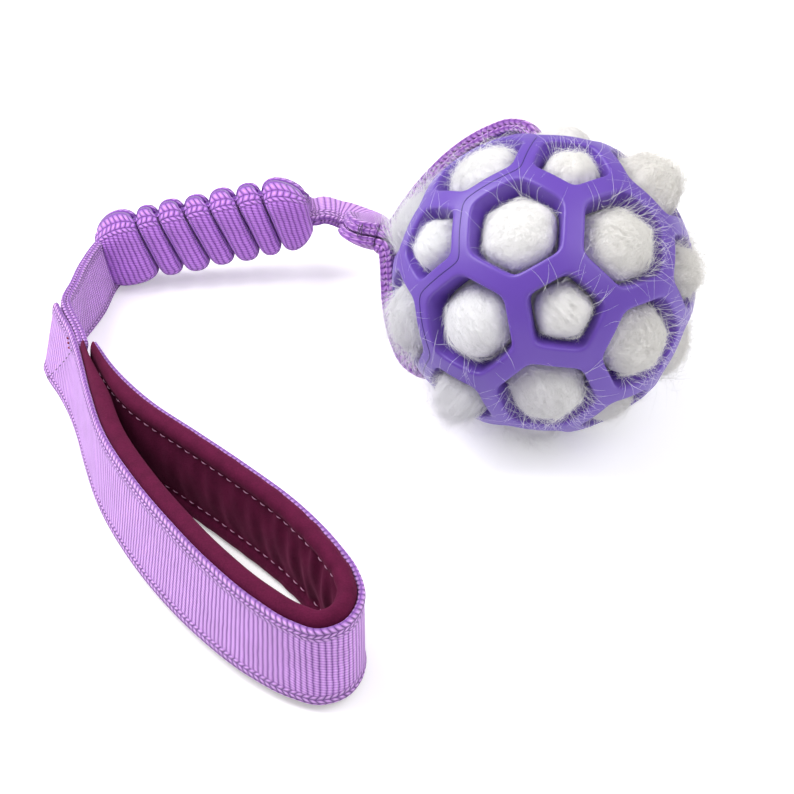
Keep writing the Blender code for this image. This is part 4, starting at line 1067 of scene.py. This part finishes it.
# %% [markdown]
# ## Stitches
# Every visible thread is a row of short stitches. One stitch is a small closed spindle that rises out of
# the cloth and dips in again. A whole row is one array: the spindle's rings repeated at each stitch.


# %% A row of stitches
SPINDLE_RINGS, SPINDLE_SIDES = 7, 6


def stitch_row(starts, ends, lifts, thickness, rise, name, material):
    """Spindles from each start to each end: the rings shrink to the ends and rise in the middle.

    A point of ring k at angle a is start + (end - start) * k/6 + lift * rise * sin(pi k/6) plus the
    ring's radius, thickness/2 * sin(pi k/6)^0.6, turned by a round the stitch's own direction.
    """
    starts, ends, lifts = [np.asarray(v, float)[:, None, None] for v in (starts, ends, lifts)]
    t = np.linspace(0, 1, SPINDLE_RINGS)[None, :, None, None]
    angle = np.linspace(0, 2 * math.pi, SPINDLE_SIDES + 1)[:-1][None, None, :, None]
    way = unit(ends - starts)
    side = np.cross(way, lifts)
    swell = 0.25 + 0.75 * np.sin(math.pi * t) ** 0.6
    centre = starts + (ends - starts) * t + lifts * rise * np.sin(math.pi * t)
    rings = centre + thickness / 2 * swell * (lifts * np.cos(angle) + side * np.sin(angle))
    count = len(rings)
    tips = np.concatenate([starts[:, :, 0], ends[:, :, 0]], axis=1)
    points = np.concatenate([rings.reshape(count, -1, 3), tips], axis=1)
    ring, tip = np.arange(SPINDLE_SIDES), SPINDLE_RINGS * SPINDLE_SIDES
    ahead, last = np.roll(ring, -1), tip - SPINDLE_SIDES
    fans = np.vstack([np.stack([np.full(SPINDLE_SIDES, tip), ahead, ring], axis=1),
                      np.stack([np.full(SPINDLE_SIDES, tip + 1), last + ring, last + ahead], axis=1)])
    step = (np.arange(count) * (tip + 2))[:, None, None]
    quads = grid_faces(SPINDLE_RINGS, SPINDLE_SIDES)[None] + step
    return add_piece(name, fill_mesh(name, points, quads, fans[None] + step), material)


def thread_material(name, colour):
    """Twisted thread: one colour with a fine twist in the normal."""
    material, tree, shader = new_material(name, 0.6, 0.3, 0.3)
    twist = noise(tree, put(tree, "TexCoord").outputs["Object"], 3000.0, 1.0)
    base = mix(tree, twist, tuple(c * 0.75 for c in colour[:3]) + (1.0,), colour)
    tree.links.new(base, shader.inputs["Base Color"])
    add_bump(tree, shader, twist, 0.4, 0.0001)
    return material


PINK = thread_material("pale_pink_thread", srgb(222, 160, 198))
DARK = thread_material("dark_thread_strand", srgb(84, 62, 104))
RED = thread_material("red_thread_strand", srgb(150, 24, 50))

# %% Lining stitches
ROW_HEIGHT = LINING_HEIGHT / 2 - ROLL_HEIGHT - ROW_INSET
ROW_DEPTH, ROW_ENDS = 0.0037, 0.006
STITCH_PITCH, STITCH_LENGTH = 0.0036, 0.0022


def row_points(lengths, sign):
    """Points on the face of the lining's channel at given lengths, and the direction out of the face."""
    middle, up, inward = handle_frames(lengths)
    depth = (LINING_OUT + ROW_DEPTH * lining_share(lengths))[:, None]
    return middle + up * sign * ROW_HEIGHT + inward * depth, inward


first, last = LINING_FIRST + ROW_ENDS, handle_length - LINING_LAST - ROW_ENDS
begin = np.arange(first, last - STITCH_PITCH, STITCH_PITCH)
for name, node, sign in (("upper_stitches", "upper_stitch_row", 1),
                         ("lower_stitches", "lower_stitch_row", -1)):
    starts, inward = row_points(begin, sign)
    ends = row_points(begin + STITCH_LENGTH, sign)[0]
    row = stitch_row(starts, ends, inward, 0.00030, 0.00022, name, PINK)
    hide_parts(node)
    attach(row, "handle")
    print(name, len(begin), "stitches")

# %% [markdown]
# ## Tail strap
# Two layers of flat webbing run from the sewn box on the handle to the front corner of the bungee, and on
# into it. They bend where they leave the box, so they follow the handle on one side of that bend and the
# bungee on the other.

# %% Tail path
TAIL_HELD, TAIL_FOLD = 0.0245, 0.009
TAIL_INSIDE, TAIL_NARROW = 0.0060, 0.24
LAYER_OFFSET = 0.0008


def tail_path(count):
    """Middle line between the two layers and its upright directions.

    It follows the handle along the sewn box, runs straight to the bungee's front corner and ends inside.
    """
    depth = HANDLE_THICK + 0.0003 + TAIL_THICK + 0.00015
    lengths = np.linspace(TAIL_HELD, 0, 5)
    middle, up, inward = handle_frames(lengths)
    ease = 0.0008 * (1 - lengths / TAIL_HELD)
    held = middle + inward * (depth + ease)[:, None]
    thirds = np.array([1, 2])[:, None] / 3
    corner = BUNGEE_START + BUNGEE_ALONG * 0.0015 + BUNGEE_FRONT * 0.0050
    end = BUNGEE_START + BUNGEE_ALONG * TAIL_INSIDE - BUNGEE_FRONT * 0.0030
    rows = np.vstack([held, held[-1] * (1 - thirds) + corner * thirds, corner, end])
    ups = np.vstack([up, unit(up[-1:] + BUNGEE_UP), BUNGEE_UP, BUNGEE_UP, BUNGEE_UP])
    both = smooth_rows(np.hstack([rows, unit(ups)]), count)
    return both[:, :3], unit(both[:, 3:])


tail_line, tail_ups = tail_path(170)
run = run_lengths(tail_line)
narrow = np.clip((run - TAIL_HELD) / (run[-1] - TAIL_HELD), 0, 1)
drop = WEBBING_WIDTH * TAIL_NARROW * narrow
rows, place = flat_section(WEBBING_WIDTH, TAIL_THICK, 0.0002)
scale = (WEBBING_WIDTH - drop)[:, None] / WEBBING_WIDTH
across, weave = rows[None, :, 0] * scale - drop[:, None] / 2, weave_rows(tail_line, place, 0.2)
for name, node, sign in (("tail_outer", "tail_strap_outer", 1), ("tail_inner", "tail_strap_inner", -1)):
    through = np.repeat(rows[None, :, 1], len(run), axis=0) + sign * LAYER_OFFSET
    sections = strip_sections(tail_line, tail_ups, np.stack([across, through], axis=-1))
    strap = add_piece(name, lofted_mesh(name, sections, weave), LILAC)
    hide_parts(node)
    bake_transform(strap)
print("tail length", round(float(run[-1]), 4))


# %% [markdown]
# The dark threads are small but the eye finds them: a dashed diagonal on the sewn box, short red stitches
# beside it, and short bars of zigzag on the straps near both ends of the bungee and at the loop.

# %% Sewn box and bar tacks
SEAM_THREAD, TACK_THREAD, BOX_THREAD, RED_THREAD = 0.0005, 0.0003, 0.00034, 0.0006
THREAD_CLEAR, SEAM_HALF, SEAM_OUT = 0.0004, 0.0050, 0.0017


def add_threads(name, node, body, points, lifts, thickness, material, skip=0):
    """A thread with a stitch for each step of its points, or with skip steps left out after each."""
    pick = np.arange(0, len(points) - 1, 1 + skip)
    row = stitch_row(points[pick], points[pick + 1], lifts[pick], thickness, 0.0002, name, material)
    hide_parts(node)
    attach(row, body)


def face_line(first, last, count):
    """Points on the handle's outer face, from one length and height to another, and the way out."""
    middle, up, inward = handle_frames(np.linspace(first[0], last[0], count))
    heights = np.linspace(first[1], last[1], count)[:, None]
    return middle + up * heights - inward * THREAD_CLEAR, -inward


def edge_line(low, high, edge, reach):
    """Points of a thread that swings over one edge of the neck strap, by the reach of each point."""
    rows, ups = part_of(neck_line, neck_edges, low, high, len(reach))
    side = np.cross(tangents(rows), ups)
    out = ups * edge
    return rows + out * (FOLDED_WIDTH / 2 + THREAD_CLEAR) + side * reach[:, None], out


points, lifts = face_line((0.0060, -0.0113), (0.0270, 0.0113), 16)
add_threads("box_thread", "box_stitch", "handle", points, lifts, BOX_THREAD, DARK, skip=1)
points, lifts = face_line((0.0194, 0.0111), (0.0234, 0.0085), 7)
add_threads("red_stitches", "red_tack", "handle", points, lifts, RED_THREAD, RED, skip=1)
rows, ups = part_of(tail_line, tail_ups, -0.0138, -0.0120, 5)
out = -np.cross(tangents(rows), ups)
points, lifts = rows + ups * np.array([-1, 1, -1, 1, -1])[:, None] * SEAM_HALF + out * SEAM_OUT, unit(out)
add_threads("tail_seam", "bungee_seam_left", "bungee_tail", points, lifts, SEAM_THREAD, DARK)
points, lifts = edge_line(0.0070, 0.0086, -1, 0.0014 * np.array([1, -1, 1, -1, 1]))
add_threads("neck_seam", "bungee_seam_right", "neck", points, lifts, SEAM_THREAD, DARK)
points, lifts = edge_line(-0.0062, -0.0044, 1, under * np.array([-0.0012, 0.0036, -0.0012, 0.0036]))
add_threads("neck_tack", "neck_bar_tack", "neck", points, lifts, TACK_THREAD, DARK)

# %% [markdown]
# ## Fur
# The ball is stuffed with white fur that swells into every hole. A soft domed core fills each hole, and
# thousands of short tapered strands lie close to it and make its woolly face. All strands of a hole are
# one array of rings, so each hole's fur is made at once.

# %% Fur materials
def fur_material(name, base, shade):
    """White fur, slightly uneven, with painted light: a warm lit tint towards the ball's right side and
    top, and a cooler painted shade tint low down and to the left.
    """
    material, tree, shader = new_material(name, 0.75, 0.15, 0.3)
    do = functools.partial(calc, tree)
    place = put(tree, "TexCoord").outputs["Object"]
    parts = put(tree, "SeparateXYZ", {0: place})
    right = do("MULTIPLY", do("SUBTRACT", parts.outputs[0], float(BALL_CENTRE[0])), 14.0)
    high = do("MULTIPLY", do("SUBTRACT", parts.outputs[2], float(BALL_CENTRE[2])), 6.0)
    # Painted light: this share rises to the right and upwards, from the painted shade tint to the lit tint
    # (the colour called shade).
    painted_light_share = do("MINIMUM", 1.0, do("MAXIMUM", 0.0, do("ADD", do("ADD", right, high), 0.35)))
    colour = toned(tree, mix(tree, painted_light_share, base, shade), noise(tree, place, 300.0, 4.0), 0.08, 0.95)
    tree.links.new(colour, shader.inputs["Base Color"])
    return material, tree, shader


# The second colour of each fur is its painted warm lit tint, and the first is its cooler painted shade
# tint.
STRAND = fur_material("white_fur_strands", srgb(252, 252, 254), srgb(253, 251, 246))[0]
CORE, tree, shader = fur_material("white_fur_core", srgb(251, 251, 253), srgb(253, 250, 245))
streak = noise(tree, put(tree, "TexCoord").outputs["Object"], 1500.0, 4.0, Distortion=1.5)
add_bump(tree, shader, streak, 0.25, 0.0003)

# %% Domes in the holes
HOLE_EDGE = (BAR_WIDTH / 2 + 0.0004) / (BALL_RADIUS - BALL_WALL / 2)
STRAP_LINE = loop_path(160)
CORE_DEPTH, CORE_FOOT = 0.0007, 0.0006
DOME_SINK, DOME_FALL, STRAP_SINK, STRAP_REACH = 0.0012, 0.0042, 0.0050, 0.0048
SETTLED, LUMP = 0.0024, 0.00030


def dome_radius(share, strap_distance, bulge):
    """Distance of the fur's face from the ball's centre: high in the middle, low at the walls.

    It is the ball's radius less 1.2 mm and less 4.2 mm times share^4, plus the hole's own bulge times
    1 - share^2, and it sinks by up to 5 mm near the strap.
    """
    sink = (STRAP_SINK + bulge) * np.exp(-(strap_distance / STRAP_REACH) ** 2)
    return BALL_RADIUS - DOME_SINK - DOME_FALL * share ** 4 + bulge * (1 - share ** 2) - sink


def settled(directions, middle):
    """How far the fur has sunk: the pile has slid away from the upper left wall of each hole."""
    away = unit(VIEW_UP * 0.8 - VIEW_RIGHT * 0.6)
    return SETTLED * np.clip((directions - middle) @ away / 0.28, -0.25, 1.0)


def strap_gap(points):
    """Distance of each point from the strap's middle line, by the nearest of its points."""
    apart = np.linalg.norm(points[:, None] - STRAP_LINE[None], axis=2)
    return apart.min(axis=1)


BULGES = ((236, 23, 0.0078), (47, 13, 0.0076), (9, 20, 0.0036), (17, -16, 0.0034), (197, 16, 0.0036),
          (157, 1, 0.0036), (162, 38, 0.0024), (275, 42, 0.0026), (87, -1, 0.0034), (337, -1, 0.0030),
          (80, 36, 0.0016), (189, -20, 0.0032), (309, 76, 0.0008), (332, 40, 0.0022), (32, 53, 0.0022))
USUAL_BULGE, SAME_HOLE = 0.0016, 0.985


def bulge_of(middle):
    """How far a hole's fur stands out: the bulge whose direction lies in that hole, or the usual one."""
    near = (out for angle, lift, out in BULGES if seen_direction(angle, lift) @ middle > SAME_HOLE)
    return next(near, USUAL_BULGE)


def share_of(directions, corners):
    """Share of the way from a hole's middle (0) to its edge (1), by the side that lies nearest."""
    edge = drawn_corners(corners, HOLE_EDGE)
    middle = unit(corners.mean(axis=0))
    sides = unit(np.cross(edge, np.roll(edge, -1, axis=0)))
    sides = sides * np.sign(sides @ middle)[:, None]
    return np.clip((1 - directions @ sides.T / (sides @ middle)).max(axis=-1), 0.0, 1.0)


def fur_face(directions, share, middle):
    """Distance of the core's face from the ball's centre in the given directions, with soft lumps."""
    gap = strap_gap(directions * BALL_RADIUS + BALL_CENTRE)
    lump = LUMP * np.sin(directions @ np.array([91.0, 57.0, 73.0]) + middle[0] * 9) * (1 - share)
    return dome_radius(share, gap, bulge_of(middle)) - settled(directions, middle) - CORE_DEPTH + lump


def hole_edge(corners):
    """Directions along the foot of a hole's fur, with rounded corners."""
    return ring_round(drawn_corners(corners, HOLE_EDGE), 8, 12)


def core_patch(corners):
    """Rings from the foot of the fur to the dome's top."""
    edge = hole_edge(corners)
    middle = unit(corners.mean(axis=0))
    foot = BALL_RADIUS - BALL_WALL - CORE_FOOT
    rings = [ring_round(corners, 8) * foot, edge * foot]
    for share in np.linspace(1.0, 0.06, 14) ** 0.7:
        ring = unit(edge * share + middle * (1 - share))
        rings.append(ring * fur_face(ring, share, middle)[:, None])
    return np.array(rings), middle * fur_face(middle[None], 0.0, middle)


def core_mesh():
    """The outer faces of all domes and a small inner shell, merged into one closed body."""
    points, quads, fans, start = [], [], [], 0
    for hole in HOLES:
        rings, top = core_patch(JUNCTIONS[hole])
        rows, columns = rings.shape[:2]
        points += [rings.reshape(-1, 3), top]
        quads.append(grid_faces(rows, columns) + start)
        base = start + (rows - 1) * columns
        ring = base + np.arange(columns)
        fans.append(np.stack([ring, np.roll(ring, -1), np.full(columns, base + columns)], axis=1))
        start += rows * columns + 1
    points = np.vstack(points) + BALL_CENTRE
    return merged(fill_mesh("fur_core", points, np.vstack(quads), np.vstack(fans)))


core = add_piece("fur_core", core_mesh(), CORE)
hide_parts("fur_pile")
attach(core, "ball")
print("fur core faces", len(core.data.polygons))

# %% Strands
FACE_CLEAR, RUBBER_CLEAR, FLOOR_CLEAR = 0.00005, 0.0003, 0.0004
STRAND_SIDES, STRAND_TAPER = 3, 0.75
FUR_WIDTH, HAIR_WIDTH = 0.000055, 0.000085
FUR_BEND, HAIR_BEND = 0.26, 0.34
FUR_STEPS, HAIR_STEPS = 4, 6
FUR_DENSITY, HOLE_AREAS = 4.6, {6: 470.0, 5: 300.0}


def strand_arrays(corners, normals, combs, lengths, lifts, width, bend, steps, over_share=0.0):
    """Rings of three points along each strand, and a last ring drawn together into a tip.

    A strand leaves its root along the comb and drifts by a random curl, as length * (t * way + t^2 *
    curl). Each point is then laid on the fur's face and lifted by length * lift * t. The share over of
    the strands lies on the outside of the rubber where it leaves its hole, and the others stay inside.
    """
    count, middle = len(normals), unit(corners.mean(axis=0))
    widths = width * rng.uniform(0.7, 1.2, count)
    over = (rng.random((count, 1)) < over_share).astype(float) if over_share else 0.0
    t = np.linspace(0, 1, steps)[None, :, None]
    curl = rng.normal(0, 1, (count, 3)) * bend
    drift = t * combs[:, None] + t ** 2 * curl[:, None]
    ways = unit(normals[:, None] * BALL_RADIUS + lengths[:, None, None] * drift)
    share = share_of(ways, corners)
    face = fur_face(ways.reshape(-1, 3), share.ravel(), middle).reshape(share.shape) + FACE_CLEAR
    edge = np.clip((share - 0.72) / 0.26, 0, 1) * over
    radius = face + (np.maximum(face, BALL_RADIUS + RUBBER_CLEAR) - face) * edge * edge * (3 - 2 * edge)
    radius = radius + lengths[:, None] * lifts[:, None] * t[..., 0]
    centre = ways * radius[..., None] + BALL_CENTRE
    way = unit(np.gradient(centre, axis=1))
    side = unit(np.cross(way, ways))
    other = np.cross(way, side)
    angle = np.linspace(0, 2 * math.pi, STRAND_SIDES + 1)[:-1][:, None]
    size = (widths[:, None, None] / 2 * (1.0 - STRAND_TAPER * t ** 1.4))[..., None]
    spoke = side[:, :, None] * np.cos(angle) + other[:, :, None] * np.sin(angle)
    rings = centre[:, :, None] + size * spoke
    rings[..., 2] = np.maximum(rings[..., 2], FLOOR_CLEAR)
    return rings


def strands_mesh(name, rings):
    """Closed thin spindles from strand rings: quads along the sides and a triangle at each end."""
    count, steps = rings.shape[:2]
    size = steps * STRAND_SIDES
    start = (np.arange(count) * size)[:, None, None]
    caps = np.array([[0, 2, 1], [size - 3, size - 2, size - 1]])
    return fill_mesh(name, rings, grid_faces(steps, STRAND_SIDES)[None] + start, caps[None] + start)


def add_strands(name, rings):
    """Strands as one piece of fur that moves with the ball."""
    piece = add_piece(name, strands_mesh(name, rings), STRAND)
    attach(piece, "ball")
    print(name, len(rings))


def dome_places(corners, count):
    """Random directions inside a hole, their share from its middle (0) to its edge (1), and the middle."""
    edge, middle = hole_edge(corners), unit(corners.mean(axis=0))
    share = np.sqrt(rng.random(count))[:, None]
    turn = rng.random(count) * len(edge)
    low = turn.astype(int)
    part = (turn - low)[:, None]
    rim = edge[low] * (1 - part) + edge[(low + 1) % len(edge)] * part
    return unit(rim * share + middle * (1 - share)), share, middle


def hole_fur(hole):
    """The woolly face of one hole: short strands close to the dome, each way a little different.

    There are as many as the hole's area in square millimetres times the density.
    """
    corners = JUNCTIONS[hole]
    count = int(HOLE_AREAS[len(hole)] * FUR_DENSITY)
    normals, share, middle = dome_places(corners, count)
    swirl = unit(np.cross(middle, [0.3, 0.2, 1.0]))
    turn = rng.random() * 2 * math.pi
    main = swirl * math.cos(turn) + np.cross(middle, swirl) * math.sin(turn)
    comb = main + rng.normal(0, 0.7, normals.shape) + (normals - middle) * 0.4 * share
    lengths, lifts = rng.uniform(0.0022, 0.0060, count), 0.48 * rng.random(count) ** 1.4
    return strand_arrays(corners, normals, squared(comb, normals), lengths, lifts,
                         FUR_WIDTH, FUR_BEND, FUR_STEPS)


for number in range(8):
    rings = [hole_fur(hole) for hole in HOLES[4 * number:4 * number + 4]]
    add_strands(f"fur_strands_{number + 1}", np.concatenate(rings))

# %% [markdown]
# Fur that has been handled also has long hairs that have worked loose. They lean out of their hole, cross
# the bars and hang over the strap. Each tuft below is a hole, found by its direction as the camera sees
# it, the way in which its loose hairs are swept, how many there are, how long the longest is and how
# steeply the steepest stands.

# %% Loose hairs
TUFTS = (
    (157, 1, 75, 1000, 0.0150, 1.00), (162, 38, 130, 140, 0.0110, 0.40), (121, 24, 120, 300, 0.0120, 0.60),
    (197, 16, 245, 1000, 0.0140, 1.00), (189, -20, 230, 700, 0.0120, 1.00),
    (227, -13, 240, 500, 0.0110, 1.00), (236, 23, 225, 1100, 0.0100, 1.20),
    (267, 1, 270, 500, 0.0100, 1.00), (303, 13, 300, 340, 0.0110, 0.45), (337, -1, 350, 560, 0.0130, 0.90),
    (9, 20, 10, 800, 0.0130, 1.00), (17, -16, 20, 500, 0.0130, 1.00), (47, 13, 50, 1100, 0.0130, 1.20),
    (80, 36, 95, 170, 0.0110, 0.50), (87, -1, 95, 300, 0.0100, 0.60), (332, 40, 335, 700, 0.0105, 0.42),
    (32, 53, 20, 900, 0.0105, 0.42), (275, 42, 285, 900, 0.0115, 0.40),
    (212, 56, 230, 110, 0.0110, 0.30), (118, 66, 100, 110, 0.0110, 0.30), (309, 76, 60, 90, 0.0090, 0.30),
)
HAIRS_OVER = 0.35


def loose_hairs(angle, lift, sweep, count, longest, stand):
    """Long strands of one hole, swept one way with a wide spread of direction, length and lift."""
    middles = unit(np.array([JUNCTIONS[hole].mean(axis=0) for hole in HOLES]))
    corners = JUNCTIONS[HOLES[np.argmax(middles @ seen_direction(angle, lift))]]
    normals, _, middle = dome_places(corners, count)
    comb = seen_direction(sweep, 0) + rng.normal(0, 0.5, normals.shape) + (normals - middle) * 0.4
    lengths = longest * rng.uniform(0.35, 1.0, count) ** 1.3
    lifts = stand * rng.random(count) ** 1.5
    return strand_arrays(corners, normals, squared(comb, normals), lengths, lifts,
                         HAIR_WIDTH, HAIR_BEND, HAIR_STEPS, HAIRS_OVER)


for number in range(4):
    rings = [loose_hairs(*tuft) for tuft in TUFTS[number::4]]
    add_strands(f"loose_hairs_{number + 1}", np.concatenate(rings))

# %% [markdown]
# ## Hidden pieces
# The elastic, the foam and the hide that the fur grows on can't be seen, but they are part of the toy, so
# their CAD solids stay and get plain procedural finishes.


# %% Finishes for the hidden pieces
def plain_material(name, low, high, scale):
    """A plain finish: two near colours mixed by a noise, and a shallow bump from the same noise."""
    material, tree, shader = new_material(name, 0.85, 0.2)
    grain = noise(tree, put(tree, "TexCoord").outputs["Object"], scale, 3.0)
    tree.links.new(mix(tree, grain, low, high), shader.inputs["Base Color"])
    add_bump(tree, shader, grain, 0.3, 0.0002)
    return material


for node, name, low, high, scale in (
        ("elastic_core", "elastic_rubber", srgb(120, 110, 130), srgb(150, 140, 160), 900.0),
        ("handle_foam", "pad_foam", srgb(150, 150, 155), srgb(190, 190, 192), 1500.0),
        ("fur_backing", "fur_hide", srgb(196, 182, 162), srgb(220, 208, 190), 500.0)):
    thing = frame["nodes"][node]
    thing.data.materials.clear()
    thing.data.materials.append(plain_material(name, low, high, scale))
    print(node, "finished")
